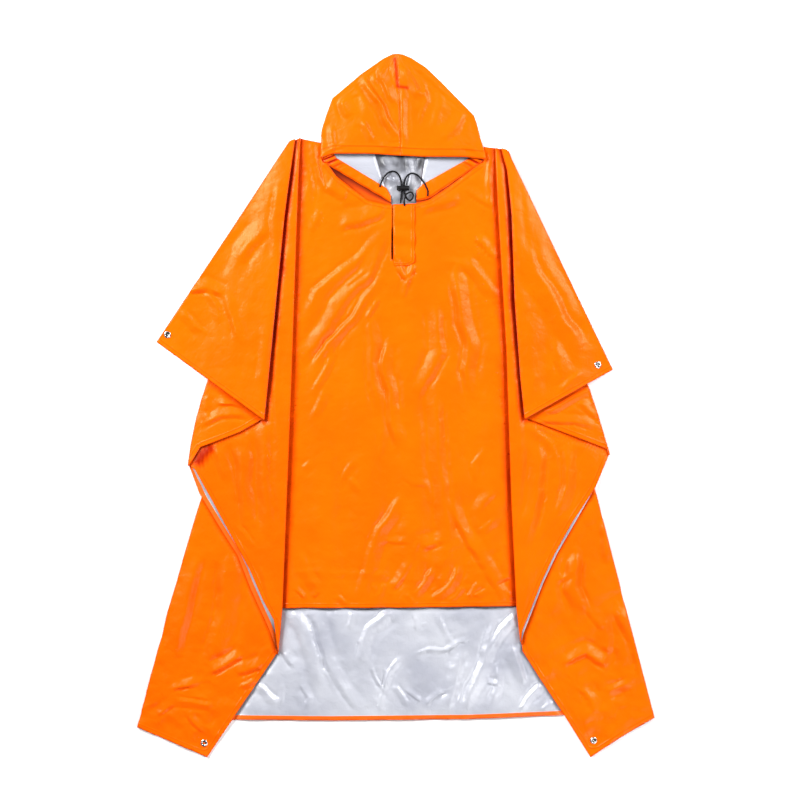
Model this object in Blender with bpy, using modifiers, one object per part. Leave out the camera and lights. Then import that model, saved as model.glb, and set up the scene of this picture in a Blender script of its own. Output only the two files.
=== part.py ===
"""A hooded rain poncho laid flat on its back, its sides pleated in a fan from each shoulder point.

The sheet is a front half and a back half, one over the other. Towards each side both halves turn
back over themselves four times, so from the floor up the plies are back 5, front 5, front 4, back 4,
back 3, front 3, front 2, back 2, back 1 and front 1. Ply 5 is the middle of the garment, ply 4 the
lower wing, ply 3 the strip beside the front, ply 2 the fold below the upper wing, ply 1 the upper wing.

+X is the viewer's right, +Y points to the hood, +Z is up from the floor. The origin is on the floor
under the middle of the outline. Lengths in the tables are millimetres.
"""

import math

import bmesh
import bpy
import numpy as np
from mathutils import Vector
from mathutils.geometry import delaunay_2d_cdt

MM = 0.001

# Cloth: wall, the gap between two plies, the gap at a seam, and how far from a ply's edge
# the cloth above it takes to come down.
CLOTH = 1.2
PLY_GAP = 0.4
PITCH = CLOTH + PLY_GAP
SEAM_GAP = 0.5
DRAPE = 38.0

# Size of the facets on the pleated sides, in the plain middle, and along edges.
SIDE_CELL = 34.0
MIDDLE_CELL = 62.0
EDGE_STEP = 42.0
MIDDLE_HALF_WIDTH = 170.0

# Turned edge of a fold: angles, in degrees, of the points between its lower and its upper ply.
FOLD_ANGLES = (-30.0, 30.0)
ON_LINE = 0.05

HOOD_LOFT = 7.0
HOOD_LOFT_REACH = 70.0
TUNNEL_WALL = 1.8

CORD_RADIUS = 1.7
CORD_LEVEL = 7.0
LOCK_LENGTH = 25.0
LOCK_RADIUS = 5.2
LOCK_CENTRE_Y = 444.5
LOCK_BORE_CLEARANCE = 0.35

EYELET_RADIUS = 7.3
EYELET_HOLE_RADIUS = 3.9
EYELET_BARREL_RADIUS = 4.6
EYELET_FLANGE = 1.0
EYELET_CLEARANCE = 0.4
EYELET_ROUNDING = 0.4
EYELET_STEPS = 16

# Fold lines run from the shoulder point down to the sheet's edge. The last point of fold_3 belongs to
# the longer back half alone, and so does the last point of fold_4.
LEFT = {
    "shoulder": [(-217, 539.5), (-490, 129.5)],
    "fold_1": [(-208, 543.5), (-228, 389), (-269.5, -30)],
    "fold_2": [(-221.5, 530), (-280, 369), (-337, 195), (-386, 41), (-404.5, -20), (-417, -81), (-423, -124)],
    "fold_3": [(-197, 546.5), (-200, 481), (-203, 389), (-216, 11), (-233, -415), (-241, -504), (-241, -510)],
    "fold_4": [(-210, 540.5), (-392, -177), (-464.5, -423), (-527, -660)],
    "edge_2": [(-318.5, -55), (-370, -75), (-400, -86)],
    "edge_3_front": [(-353, -255), (-296, -343), (-244, -480)],
    "edge_3_back": [(-366.5, -259), (-333, -310), (-312.5, -347), (-259, -482)],
    "edge_4_back": [(-386, -720.5)],
}
RIGHT = {
    "shoulder": [(227.5, 522), (444.5, 73)],
    "fold_1": [(217.5, 525), (229.5, 481), (238, 389), (244, 215), (256, 52), (264.5, -28)],
    "fold_2": [(229.5, 519), (391, 41), (411.5, -20), (436, -102)],
    "fold_3": [(206, 526), (207, 481), (211, 389), (227.5, 113), (237.5, -194), (248, -415), (256, -484),
               (256, -490)],
    "fold_4": [(222.5, 523), (405.5, -173), (469, -419), (527, -640.5)],
    "edge_2": [(432, -89.5)],
    "edge_3_front": [(407.5, -169), (362.5, -237), (325, -304), (298, -361), (257.5, -464)],
    "edge_3_back": [(410, -174), (372.5, -241), (334, -306), (307.5, -363), (266.5, -468)],
    "edge_4_back": [(259, -503), (298, -564), (344, -633), (398.5, -720.5), (458.5, -680.5)],
}

# Middle of the garment, each from left to right.
SHOULDER_LEFT_OF_NECK = [(-143.5, 536)]
SHOULDER_AT_BACK = [(-143.5, 536), (10.5, 534), (166, 529)]
SHOULDER_RIGHT_OF_NECK = [(166, 529)]
FRONT_HEM = [(-233, -415.5), (8.5, -414.5), (254, -411.5)]
BACK_HEM = [(-322.5, -643.5), (-134.5, -645.5), (152, -642.5), (344, -634.5)]
NECK_LEFT = [(-147, 504), (-121.5, 469), (-87.5, 442), (-57, 420), (-22, 412), (-7.5, 411)]
SLIT = [(-8.5, 370), (-9.7, 345), (-9.7, 300), (-6.5, 291), (-3.5, 300), (-3.5, 345), (-6.3, 370),
        (-6.3, 411)]
NECK_RIGHT = [(41, 413), (68, 420.5), (108, 447), (176, 497.5)]

# Hood outline, each half from the top of the middle seam down to where it passes the shoulder.
HOOD_LEFT_OUTLINE = [(-5, 719), (-24, 710), (-71, 677), (-129, 628), (-141, 596), (-151, 563), (-152.5, 549)]
HOOD_RIGHT_OUTLINE = [(12, 718.5), (31, 710.5), (60, 692), (92.5, 661), (159, 593), (164, 579), (172, 549)]
HOOD_SEAM = [(4, 720), (6, 661), (8, 594), (10.5, 520), (11, 510)]
HOOD_SEAM_REAR_ROWS = 4
HOOD_CORNER_LEFT = (-154, 505)
HOOD_CORNER_RIGHT = (184, 505)
HOOD_RIM_LEFT = [(-46, 513.5), (-129, 514), HOOD_CORNER_LEFT]
HOOD_RIM_RIGHT = [(60, 507.5), (144, 507), (181.5, 502.5), HOOD_CORNER_RIGHT]
HOOD_REAR_LEFT = [(-142.6, 540), (-142.8, 535.5), (-146.3, 504.3), (-121, 469.6), (-87.1, 442.6),
                  (-56.7, 420.7), (-22, 412.7), (-12, 412.2), (-20, 440), (-40.5, 508), (-47.5, 522)]
HOOD_REAR_RIGHT = [(164.6, 540), (165.3, 528.5), (175.2, 498.2), (107.6, 447.6), (67.8, 421.1), (42, 414),
                   (49.5, 440), (60, 506), (65, 522)]
TUNNEL_LEFT = [(-149, 497.5), (-122, 506.5), (-19, 444.5), (-10, 428), (-10, 415), (-18, 419)]
TUNNEL_RIGHT = [(178.5, 497.5), (152, 506.5), (55.5, 452.5), (43, 440), (42, 418), (62, 420), (70, 423)]
PLACKET = [(-3.2, 409.5), (38.5, 409.5), (38.5, 293), (27, 285), (-3.2, 285)]

# The cord's free ends: x, y and how far it lifts over itself.
CORD_LEFT = [(-33, 446.5, 0), (-29.5, 455.5, 0), (-23, 468, 0), (-14, 476.5, 0), (-4.5, 478.5, 0),
             (3.5, 474.5, 0), (8.7, 466, 0), (11.3, 456.5, 0), (11.6, 444.5, 0), (11.4, 432, 0),
             (10.4, 422, 0), (9.8, 413, 0)]
CORD_RIGHT = [(65, 428, 0), (66, 437, 0), (63, 445.5, 0), (58, 454.5, 0), (51.5, 463, 0), (44, 471, 0),
              (35.5, 474.5, 0), (27, 472.5, 0), (21, 465.5, 0), (18, 456.5, 0), (17.7, 444.5, 0),
              (18, 435, 0), (20.5, 426, 0), (26.5, 419, 0), (33, 421, 1), (36, 428.5, 2.6),
              (32.5, 435, 3.8), (25, 434, 4.2), (19.5, 427, 4.2), (17.5, 417.5, 3), (18, 407.5, 1)]
CORD_BORES = {"left": 11.6, "right": 17.7}

EYELETS = [
    ("eyelet_left_wrist", (-467.5, 144.5), "front_left_1"),
    ("eyelet_right_wrist", (413.5, 82.5), "front_right_1"),
    ("eyelet_left_corner", (-392.5, -692), "back_left_4"),
    ("eyelet_right_corner", (405, -686.5), "back_right_4"),
]

MATERIALS = {
    # name: colour, roughness, metallic
    "orange_cloth": ((1.0, 0.21, 0.006, 1.0), 0.38, 0.0),
    "black_cord": ((0.012, 0.012, 0.013, 1.0), 0.75, 0.0),
    "black_plastic": ((0.015, 0.015, 0.016, 1.0), 0.4, 0.0),
    "steel": ((0.62, 0.62, 0.60, 1.0), 0.28, 1.0),
}


# ---------------------------------------------------------------- scene and materials
def clear_scene():
    for item in list(bpy.data.objects):
        bpy.data.objects.remove(item, do_unlink=True)


def make_collections():
    poncho = bpy.data.collections.new("hooded_poncho")
    cutters = bpy.data.collections.new("cutters")
    for group in (poncho, cutters):
        bpy.context.scene.collection.children.link(group)
    return poncho, cutters


def make_material(name):
    colour, roughness, metallic = MATERIALS[name]
    material = bpy.data.materials.new(name)
    material.use_nodes = True
    shader = material.node_tree.nodes["Principled BSDF"]
    shader.inputs["Base Color"].default_value = colour
    shader.inputs["Roughness"].default_value = roughness
    shader.inputs["Metallic"].default_value = metallic
    material.diffuse_color = colour
    return material


# ---------------------------------------------------------------- outlines of the plies, seen from above
def side_outlines(side, name):
    """The plies of one side, each an outline that shares its fold line with the next ply."""
    back_3, back_4 = side["fold_3"], side["fold_4"]
    front_3, front_4 = back_3[:-1], back_4[:-1]
    wing = side["shoulder"] + side["fold_1"][::-1]
    under_wing = side["fold_1"] + side["edge_2"] + side["fold_2"][::-1]
    return {
        f"front_{name}_1": wing,
        f"back_{name}_1": wing,
        f"front_{name}_2": under_wing,
        f"back_{name}_2": under_wing,
        f"front_{name}_3": side["fold_2"] + side["edge_3_front"] + front_3[::-1],
        f"back_{name}_3": side["fold_2"] + side["edge_3_back"] + back_3[::-1],
        f"front_{name}_4": front_3 + front_4[::-1],
        f"back_{name}_4": back_3 + side["edge_4_back"] + back_4[::-1],
    }


def middle_outlines():
    left_front, right_front = LEFT["fold_4"][:-1], RIGHT["fold_4"][:-1]
    neck = NECK_LEFT + SLIT + NECK_RIGHT
    top_left, top_right = [LEFT["fold_3"][0]], [RIGHT["fold_3"][0]]
    front = (left_front + FRONT_HEM + right_front[::-1] + top_right + SHOULDER_RIGHT_OF_NECK
             + neck[::-1] + SHOULDER_LEFT_OF_NECK + top_left)
    back = LEFT["fold_4"] + BACK_HEM + RIGHT["fold_4"][::-1] + top_right + SHOULDER_AT_BACK[::-1] + top_left
    return {"front_5": front, "back_5": back}


def hood_seam(side):
    """The middle seam's edge on one half, from the top down."""
    offset = -SEAM_GAP / 2 if side == "left" else SEAM_GAP / 2
    return [(x + offset, y) for x, y in HOOD_SEAM]


def hood_outlines():
    left, right = hood_seam("left"), hood_seam("right")
    rear = HOOD_SEAM_REAR_ROWS
    return {
        "hood_front_left": left[::-1] + HOOD_LEFT_OUTLINE + HOOD_RIM_LEFT[::-1],
        "hood_front_right": right[::-1] + HOOD_RIGHT_OUTLINE + HOOD_RIM_RIGHT[::-1],
        "hood_rear_left": left[:rear][::-1] + HOOD_LEFT_OUTLINE + HOOD_REAR_LEFT,
        "hood_rear_right": right[:rear][::-1] + HOOD_RIGHT_OUTLINE + HOOD_REAR_RIGHT,
    }


def circle(centre, radius, count=12):
    turns = [2 * math.pi * i / count for i in range(count)]
    return [(centre[0] + radius * math.cos(t), centre[1] + radius * math.sin(t)) for t in turns]


def stepped(outline, closed=True, step=EDGE_STEP):
    """The outline with each stretch cut into equal steps."""
    points = []
    count = len(outline) if closed else len(outline) - 1
    for i in range(count):
        a, b = outline[i], outline[(i + 1) % len(outline)]
        parts = max(1, math.ceil(math.dist(a, b) / step))
        points += [(a[0] + (b[0] - a[0]) * k / parts, a[1] + (b[1] - a[1]) * k / parts) for k in range(parts)]
    return points if closed else points + [outline[-1]]


# ---------------------------------------------------------------- one plan shared by every ply
def inside(points, outline):
    """Which of the points lie inside the outline, by counting crossings."""
    ring = np.array(outline)
    x, y = points[:, 0:1], points[:, 1:2]
    ax, ay = ring[:, 0], ring[:, 1]
    bx, by = np.roll(ax, -1), np.roll(ay, -1)
    rise = np.where(by == ay, 1e-12, by - ay)
    crosses = ((ay > y) != (by > y)) & (x < (bx - ax) * (y - ay) / rise + ax)
    return crosses.sum(axis=1) % 2 == 1


def distance(points, line, closed=True):
    """Distance from each point to the outline."""
    ring = np.array(line)
    a = ring if closed else ring[:-1]
    b = np.roll(ring, -1, axis=0) if closed else ring[1:]
    run = b - a
    length = np.maximum((run ** 2).sum(axis=1), 1e-12)
    away = points[:, None, :] - a[None]
    along = np.clip((away * run).sum(axis=2) / length, 0, 1)
    return np.sqrt(((away - along[..., None] * run) ** 2).sum(axis=2)).min(axis=1)


def smooth(value):
    value = np.clip(value, 0, 1)
    return value * value * (3 - 2 * value)


def cover(points, outlines):
    """1 over any of the outlines, fading to 0 at DRAPE outside them."""
    best = np.zeros(len(points))
    for outline in outlines:
        fade = 1 - smooth(distance(points, outline) / DRAPE)
        best = np.maximum(best, np.where(inside(points, outline), 1.0, fade))
    return best


def make_plan(outlines, holes):
    """Triangles between all the outlines, so that plies over each other have the same corners."""
    index, edges = {}, set()

    def corner(point):
        key = (round(point[0], 2), round(point[1], 2))
        return index.setdefault(key, len(index))

    for outline in list(outlines.values()) + list(holes.values()):
        ring = [corner(p) for p in stepped(outline)]
        for a, b in zip(ring, ring[1:] + ring[:1]):
            if a != b:
                edges.add((min(a, b), max(a, b)))
    corners = np.array(list(index), dtype=float)

    low, high = corners.min(axis=0), corners.max(axis=0)
    grid = []
    for cell, middle in ((SIDE_CELL, False), (MIDDLE_CELL, True)):
        for row, y in enumerate(np.arange(low[1], high[1], cell * 0.87)):
            for x in np.arange(low[0] + (row % 2) * cell / 2, high[0], cell):
                if (abs(x) < MIDDLE_HALF_WIDTH and y < 480) == middle:
                    grid.append((x, y, cell))
    grid = np.array(grid)
    clear = np.ones(len(grid), bool)
    for outline in outlines.values():
        clear &= distance(grid[:, :2], outline) > 0.42 * grid[:, 2]
    kept = np.any([inside(grid[:, :2], outline) for outline in outlines.values()], axis=0)
    points = [Vector(p) for p in corners] + [Vector(p) for p in grid[clear & kept][:, :2]]
    plan, _, triangles, *_ = delaunay_2d_cdt(points, sorted(edges), [], 0, 0.02)
    plan = np.array([(p.x, p.y) for p in plan])
    triangles = np.array(triangles)
    a, b, c = (plan[triangles[:, i]] for i in range(3))
    turn = (b[:, 0] - a[:, 0]) * (c[:, 1] - a[:, 1]) - (b[:, 1] - a[:, 1]) * (c[:, 0] - a[:, 0])
    triangles[turn < 0] = triangles[turn < 0][:, ::-1]
    return plan, triangles


# ---------------------------------------------------------------- the height of each ply
def ply_supports(outlines):
    """For each ply, the groups of plies under it. A group counts once where its members lie side by side."""
    sides = ("left", "right")
    first = ["back_5"]
    second = ["front_5", "hood_rear_left", "hood_rear_right"]
    order = ["front_4", "back_4", "back_3", "front_3", "front_2", "back_2", "back_1", "front_1"]
    supports = {"back_5": [], "front_5": [first], "hood_rear_left": [first], "hood_rear_right": [first]}
    below = [first, second]
    for name in order:
        panel, number = name.split("_")
        group = [f"{panel}_{side}_{number}" for side in sides]
        for ply in group:
            supports[ply] = list(below)
        below = below + [group]
    for ply in ("tunnel_left", "tunnel_right", "placket"):
        supports[ply] = [first, second]
    tunnels = ["tunnel_left", "tunnel_right"]
    for side in sides:
        supports[f"hood_front_{side}"] = [first, second, tunnels]
    return supports


def ply_height(ply, points, outlines, supports):
    """Height of the ply's lower face at the points."""
    height = np.zeros(len(points))
    for group in supports[ply]:
        height += PITCH * cover(points, [outlines[name] for name in group])
    if ply.startswith("hood_front"):
        fold = [HOOD_CORNER_LEFT] + HOOD_LEFT_OUTLINE[::-1] + HOOD_RIGHT_OUTLINE + [HOOD_CORNER_RIGHT]
        height += HOOD_LOFT * smooth(distance(points, fold, closed=False) / HOOD_LOFT_REACH)
    return height


# ---------------------------------------------------------------- cloth walls
def boundary_edges(triangles):
    """Edges with one triangle, each directed so that the cloth is on its left."""
    edges = {}
    for a, b, c in triangles:
        for edge in ((a, b), (b, c), (c, a)):
            edges[edge] = True
    return [edge for edge in edges if (edge[1], edge[0]) not in edges]


def outward_normals(plan, edges):
    """The direction away from the cloth at each corner of a fold line."""
    sums = {}
    for a, b in edges:
        run = plan[b] - plan[a]
        away = np.array([run[1], -run[0]]) / np.hypot(*run)
        for corner in (a, b):
            sums[corner] = sums.get(corner, 0) + away
    return {corner: away / np.hypot(*away) for corner, away in sums.items()}


class Wall:
    """A cloth wall that passes through several plies, turning over at the fold between two of them."""

    def __init__(self, plan, thickness=CLOTH):
        self.plan = plan
        self.thickness = thickness
        self.bm = bmesh.new()
        self.plies = []

    def vertex(self, x, y, z):
        return self.bm.verts.new((x * MM, y * MM, z * MM))

    def add_ply(self, triangles, heights):
        low, high = {}, {}
        for i in sorted(set(triangles.ravel().tolist())):
            x, y = self.plan[i]
            low[i] = self.vertex(x, y, heights[i])
            high[i] = self.vertex(x, y, heights[i] + self.thickness)
        for a, b, c in triangles.tolist():
            self.bm.faces.new((high[a], high[b], high[c]))
            self.bm.faces.new((low[c], low[b], low[a]))
        edges = set(boundary_edges(triangles.tolist()))
        self.plies.append({"low": low, "high": high, "edges": edges, "z": heights})

    def fold(self, first, second, line=None):
        """Joins two plies along the edges that both have, or along those of them on the line."""
        a, b = self.plies[first], self.plies[second]
        shared = a["edges"] & b["edges"]
        if line:
            found = sorted(shared)
            middles = np.array([(self.plan[i] + self.plan[j]) / 2 for i, j in found])
            near = distance(middles, line, closed=False) < ON_LINE
            shared = {edge for edge, on_line in zip(found, near) if on_line}
        a["edges"] -= shared
        b["edges"] -= shared
        corners = outward_normals(self.plan, shared)
        lower, upper = (a, b) if sum(a["z"][i] for i in corners) < sum(b["z"][i] for i in corners) else (b, a)
        rise = np.mean([upper["z"][i] - lower["z"][i] for i in corners])
        rows = {}
        for i, away in corners.items():
            rows[i] = self.fold_section(i, away, lower, upper, open_inside=rise > 2 * PITCH)
        for i, j in shared:
            for ring_i, ring_j in zip(rows[i], rows[j]):
                for k in range(len(ring_i) - 1):
                    self.bm.faces.new((ring_i[k], ring_j[k], ring_j[k + 1], ring_i[k + 1]))
        ends = {i for i in corners if sum(i in edge for edge in shared) == 1}
        for i in ends:
            outer, inner = rows[i]
            self.bm.faces.new(outer + inner[::-1])

    def fold_section(self, i, away, lower, upper, open_inside):
        """Outer and inner points of the turned edge at corner i; a tight fold is plain inside."""
        bottom, top = lower["z"][i], upper["z"][i] + self.thickness
        middle, outer_radius = (bottom + top) / 2, (top - bottom) / 2
        inner_radius = outer_radius - self.thickness
        outer, inner = [lower["low"][i]], [lower["high"][i]]
        for degrees in FOLD_ANGLES:
            turn = math.radians(degrees)
            for points, radius in ((outer, outer_radius), (inner, inner_radius)):
                if points is inner and not open_inside:
                    continue
                x, y = self.plan[i] + away * radius * math.cos(turn)
                points.append(self.vertex(x, y, middle + radius * math.sin(turn)))
        outer.append(upper["high"][i])
        inner.append(upper["low"][i])
        return outer, inner

    def finish(self, name, material, collection):
        """Closes the free edges and makes the object."""
        for ply in self.plies:
            for a, b in ply["edges"]:
                self.bm.faces.new((ply["low"][a], ply["low"][b], ply["high"][b], ply["high"][a]))
        bmesh.ops.recalc_face_normals(self.bm, faces=self.bm.faces)
        mesh = bpy.data.meshes.new(name)
        self.bm.to_mesh(mesh)
        self.bm.free()
        return add_object(name, mesh, material, collection)


def add_object(name, data, material, collection):
    item = bpy.data.objects.new(name, data)
    data.materials.append(material)
    collection.objects.link(item)
    return item


# ---------------------------------------------------------------- hardware
def make_eyelet(name, centre, hole, heights, material, collection):
    """A flanged ring turned about Z and tilted with the cloth, its barrel down through the cloth's hole."""
    top = CLOTH + EYELET_CLEARANCE + EYELET_FLANGE
    profile = [
        (EYELET_HOLE_RADIUS, top - EYELET_ROUNDING),
        (EYELET_HOLE_RADIUS + EYELET_ROUNDING, top),
        (EYELET_RADIUS - EYELET_ROUNDING, top - EYELET_ROUNDING / 2),
        (EYELET_RADIUS, CLOTH + EYELET_CLEARANCE),
        (EYELET_BARREL_RADIUS, CLOTH + EYELET_CLEARANCE),
        (EYELET_BARREL_RADIUS, EYELET_CLEARANCE),
        (EYELET_HOLE_RADIUS, EYELET_CLEARANCE),
    ]
    mesh = bpy.data.meshes.new(name)
    ring = [(i, (i + 1) % len(profile)) for i in range(len(profile))]
    mesh.from_pydata([(r * MM, 0, z * MM) for r, z in profile], ring, [])
    eyelet = add_object(name, mesh, material, collection)
    eyelet.location = (centre[0] * MM, centre[1] * MM, heights.mean() * MM)
    away = np.array(hole) - centre
    slope = away.T @ heights / (away[:, 0] @ away[:, 0])
    eyelet.rotation_euler = Vector((-slope[0], -slope[1], 1)).to_track_quat("Z", "Y").to_euler()
    turned = eyelet.modifiers.new("turn", "SCREW")
    turned.angle = 2 * math.pi
    turned.steps = turned.render_steps = EYELET_STEPS
    turned.use_merge_vertices = True
    turned.merge_threshold = 0.00001
    return eyelet


def smooth_route(points, step):
    """Points at even steps along a Catmull-Rom curve through the route's own points."""
    route = [Vector(p) for p in points]
    route = [2 * route[0] - route[1]] + route + [2 * route[-1] - route[-2]]
    fine = []
    for i in range(1, len(route) - 2):
        a, b, c, d = route[i - 1:i + 3]
        for k in range(12):
            t = k / 12
            fine.append(0.5 * (2 * b + (c - a) * t + (2 * a - 5 * b + 4 * c - d) * t ** 2
                               + (3 * b - a - 3 * c + d) * t ** 3))
    fine.append(route[-2])
    length = sum((q - p).length for p, q in zip(fine, fine[1:]))
    spacing = length / round(length / step)
    even, travelled = [fine[0]], 0.0
    for p, q in zip(fine, fine[1:]):
        travelled += (q - p).length
        if travelled >= spacing * len(even) - 1e-6:
            even.append(q)
    return even


def make_cord(name, route, material, collection):
    points = smooth_route([(x, y, CORD_LEVEL + lift) for x, y, lift in route], 4.6)
    curve = bpy.data.curves.new(name, "CURVE")
    curve.dimensions = "3D"
    curve.bevel_depth = CORD_RADIUS * MM
    curve.bevel_resolution = 2
    curve.use_fill_caps = True
    spline = curve.splines.new("POLY")
    spline.points.add(len(points) - 1)
    for slot, point in zip(spline.points, points):
        slot.co = (*(point * MM), 1.0)
    return add_object(name, curve, material, collection)


def make_cord_lock(material, collection, cutters):
    """A barrel across the cords, with a bore for each."""
    middle = sum(CORD_BORES.values()) / 2
    bpy.ops.mesh.primitive_cylinder_add(vertices=20, radius=LOCK_RADIUS * MM, depth=LOCK_LENGTH * MM,
                                        rotation=(0, math.pi / 2, 0))
    lock = bpy.context.object
    lock.name = lock.data.name = "cord_lock"
    lock.location = (middle * MM, LOCK_CENTRE_Y * MM, CORD_LEVEL * MM)
    lock.data.materials.append(material)
    move_to(lock, collection)
    rounded = lock.modifiers.new("round_ends", "BEVEL")
    rounded.width = 1.2 * MM
    rounded.segments = 1
    rounded.limit_method = "ANGLE"
    for side, x in CORD_BORES.items():
        bpy.ops.mesh.primitive_cylinder_add(vertices=12, radius=(CORD_RADIUS + LOCK_BORE_CLEARANCE) * MM,
                                            depth=3 * LOCK_RADIUS * MM, rotation=(math.pi / 2, 0, 0))
        bore = bpy.context.object
        bore.name = f"cord_bore_{side}"
        bore.location = (x * MM, LOCK_CENTRE_Y * MM, CORD_LEVEL * MM)
        bore.hide_render = True
        bore.display_type = "WIRE"
        move_to(bore, cutters)
        cut = lock.modifiers.new(f"bore_{side}", "BOOLEAN")
        cut.operation = "DIFFERENCE"
        cut.object = bore
    return lock


def move_to(item, collection):
    for group in list(item.users_collection):
        group.objects.unlink(item)
    collection.objects.link(item)


# ---------------------------------------------------------------- the poncho
def main():
    clear_scene()
    poncho, cutters = make_collections()
    materials = {name: make_material(name) for name in MATERIALS}

    outlines = {**side_outlines(LEFT, "left"), **side_outlines(RIGHT, "right"), **middle_outlines(),
                **hood_outlines()}
    outlines.update(tunnel_left=TUNNEL_LEFT, tunnel_right=TUNNEL_RIGHT, placket=PLACKET)
    holes = {ply: circle(centre, EYELET_BARREL_RADIUS + 2 * EYELET_CLEARANCE) for _, centre, ply in EYELETS}
    supports = ply_supports(outlines)
    plan, triangles = make_plan(outlines, holes)
    centres = plan[triangles].mean(axis=1)

    def ply_triangles(ply):
        chosen = inside(centres, outlines[ply])
        if ply in holes:
            chosen &= ~inside(centres, holes[ply])
        return triangles[chosen]

    def wall(plies, thickness=CLOTH, line=None):
        made = Wall(plan, thickness)
        for ply in plies:
            made.add_ply(ply_triangles(ply), ply_height(ply, plan, outlines, supports))
        for i in range(len(plies) - 1):
            made.fold(i, i + 1, line)
        return made

    for panel in ("front", "back"):
        left = [f"{panel}_left_{n}" for n in (1, 2, 3, 4)]
        right = [f"{panel}_right_{n}" for n in (4, 3, 2, 1)]
        wall(left + [f"{panel}_5"] + right).finish(f"{panel}_panel", materials["orange_cloth"], poncho)
    for side, outline in (("left", HOOD_LEFT_OUTLINE), ("right", HOOD_RIGHT_OUTLINE)):
        edge = [hood_seam(side)[0]] + outline
        hood = wall([f"hood_rear_{side}", f"hood_front_{side}"], line=edge)
        hood.finish(f"hood_{side}", materials["orange_cloth"], poncho)
        tunnel = wall([f"tunnel_{side}"], TUNNEL_WALL)
        tunnel.finish(f"hood_tunnel_{side}", materials["orange_cloth"], poncho)
    wall(["placket"]).finish("chest_placket", materials["orange_cloth"], poncho)

    for name, centre, ply in EYELETS:
        heights = ply_height(ply, np.array(holes[ply]), outlines, supports)
        make_eyelet(name, centre, holes[ply], heights, materials["steel"], poncho)
    make_cord("drawcord_left", CORD_LEFT, materials["black_cord"], poncho)
    make_cord("drawcord_right", CORD_RIGHT, materials["black_cord"], poncho)
    make_cord_lock(materials["black_plastic"], poncho, cutters)


main()
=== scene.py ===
import math
import bmesh
import bpy
import numpy as np
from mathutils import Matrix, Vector, noise


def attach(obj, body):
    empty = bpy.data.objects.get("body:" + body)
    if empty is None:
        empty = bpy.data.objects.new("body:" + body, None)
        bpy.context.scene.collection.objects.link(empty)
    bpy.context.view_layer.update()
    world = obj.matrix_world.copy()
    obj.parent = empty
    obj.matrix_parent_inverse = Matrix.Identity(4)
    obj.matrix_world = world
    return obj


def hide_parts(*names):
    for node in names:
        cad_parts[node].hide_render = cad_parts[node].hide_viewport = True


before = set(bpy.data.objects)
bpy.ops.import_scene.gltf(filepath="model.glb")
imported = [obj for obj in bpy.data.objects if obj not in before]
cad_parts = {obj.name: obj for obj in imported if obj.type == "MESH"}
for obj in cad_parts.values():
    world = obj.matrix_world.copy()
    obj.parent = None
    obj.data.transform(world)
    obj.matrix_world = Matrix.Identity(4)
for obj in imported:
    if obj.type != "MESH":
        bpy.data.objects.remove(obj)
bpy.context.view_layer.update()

# ---------------------------------------------------------------- the photographer's table, lights and camera
# A pale table top with three big softboxes round it, none of them straight above, so flat cloth shows its own
# colour and only tilted creases shine. The camera looks straight down through a long lens.
scene = bpy.context.scene
scene.view_settings.view_transform = "Standard"


def new_object(name, data):
    """An object in the scene, at the origin, that shows this mesh, curve, lamp or camera."""
    made = bpy.data.objects.new(name, data)
    scene.collection.objects.link(made)
    return made


def new_material(name, colour, roughness, **sockets):
    """A principled material; its sockets are named in the shader's own words."""
    material = bpy.data.materials.new(name)
    material.use_nodes = True
    shader = material.node_tree.nodes["Principled BSDF"]
    shader.inputs["Base Color"].default_value = (*colour, 1)
    shader.inputs["Roughness"].default_value = roughness
    for socket, value in sockets.items():
        shader.inputs[socket.replace("_", " ")].default_value = value
    return material


def wire(material, kind, links=(), **values):
    """A node with the given settings and inputs, joined to the outputs listed."""
    node = material.node_tree.nodes.new(kind)
    for key, value in values.items():
        if hasattr(node, key):
            setattr(node, key, value)
        else:
            node.inputs[key.replace("_", " ")].default_value = value
    for socket, output in links:
        material.node_tree.links.new(output, node.inputs[socket])
    return node


def feed(material, socket, output):
    """Join a node's output to a socket of the material's own shader."""
    material.node_tree.links.new(output, material.node_tree.nodes["Principled BSDF"].inputs[socket])


camera = new_object("camera", bpy.data.cameras.new("camera"))
camera.data.lens = 100
camera.data.sensor_width = 36
camera.data.clip_end = 60
camera.location = (0.0087, 0.0107, 4.5524)
scene.camera = camera

table = bmesh.new()
bmesh.ops.create_grid(table, x_segments=2, y_segments=2, size=7)
table_mesh = bpy.data.meshes.new("table_top")
table.to_mesh(table_mesh)
table_top = new_object("table_top", table_mesh)
table_paint = new_material("table_paint", (0.9, 0.9, 0.9), 0.85, Specular_IOR_Level=0.1)
speck = wire(table_paint, "ShaderNodeTexNoise", Scale=60, Detail=2)
tone = wire(table_paint, "ShaderNodeValToRGB", [("Fac", speck.outputs["Fac"])])
tone.color_ramp.elements[0].color = (0.93, 0.93, 0.93, 1)
tone.color_ramp.elements[1].color = (0.96, 0.96, 0.96, 1)
feed(table_paint, "Base Color", tone.outputs["Color"])
table_mesh.materials.append(table_paint)

for name, place, size, power in (
        ("softbox_head_left", (-2.5, 1.9, 2.3), 1.8, 262),
        ("softbox_head_right", (2.6, 1.6, 2.3), 1.6, 135),
        ("softbox_foot", (1.9, -2.3, 2.0), 2.0, 66)):
    light = new_object(name, bpy.data.lights.new(name, "AREA"))
    light.data.size = size
    light.data.energy = power
    light.location = place
    light.rotation_euler = (-Vector(place)).to_track_quat("-Z", "Y").to_euler()

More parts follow.
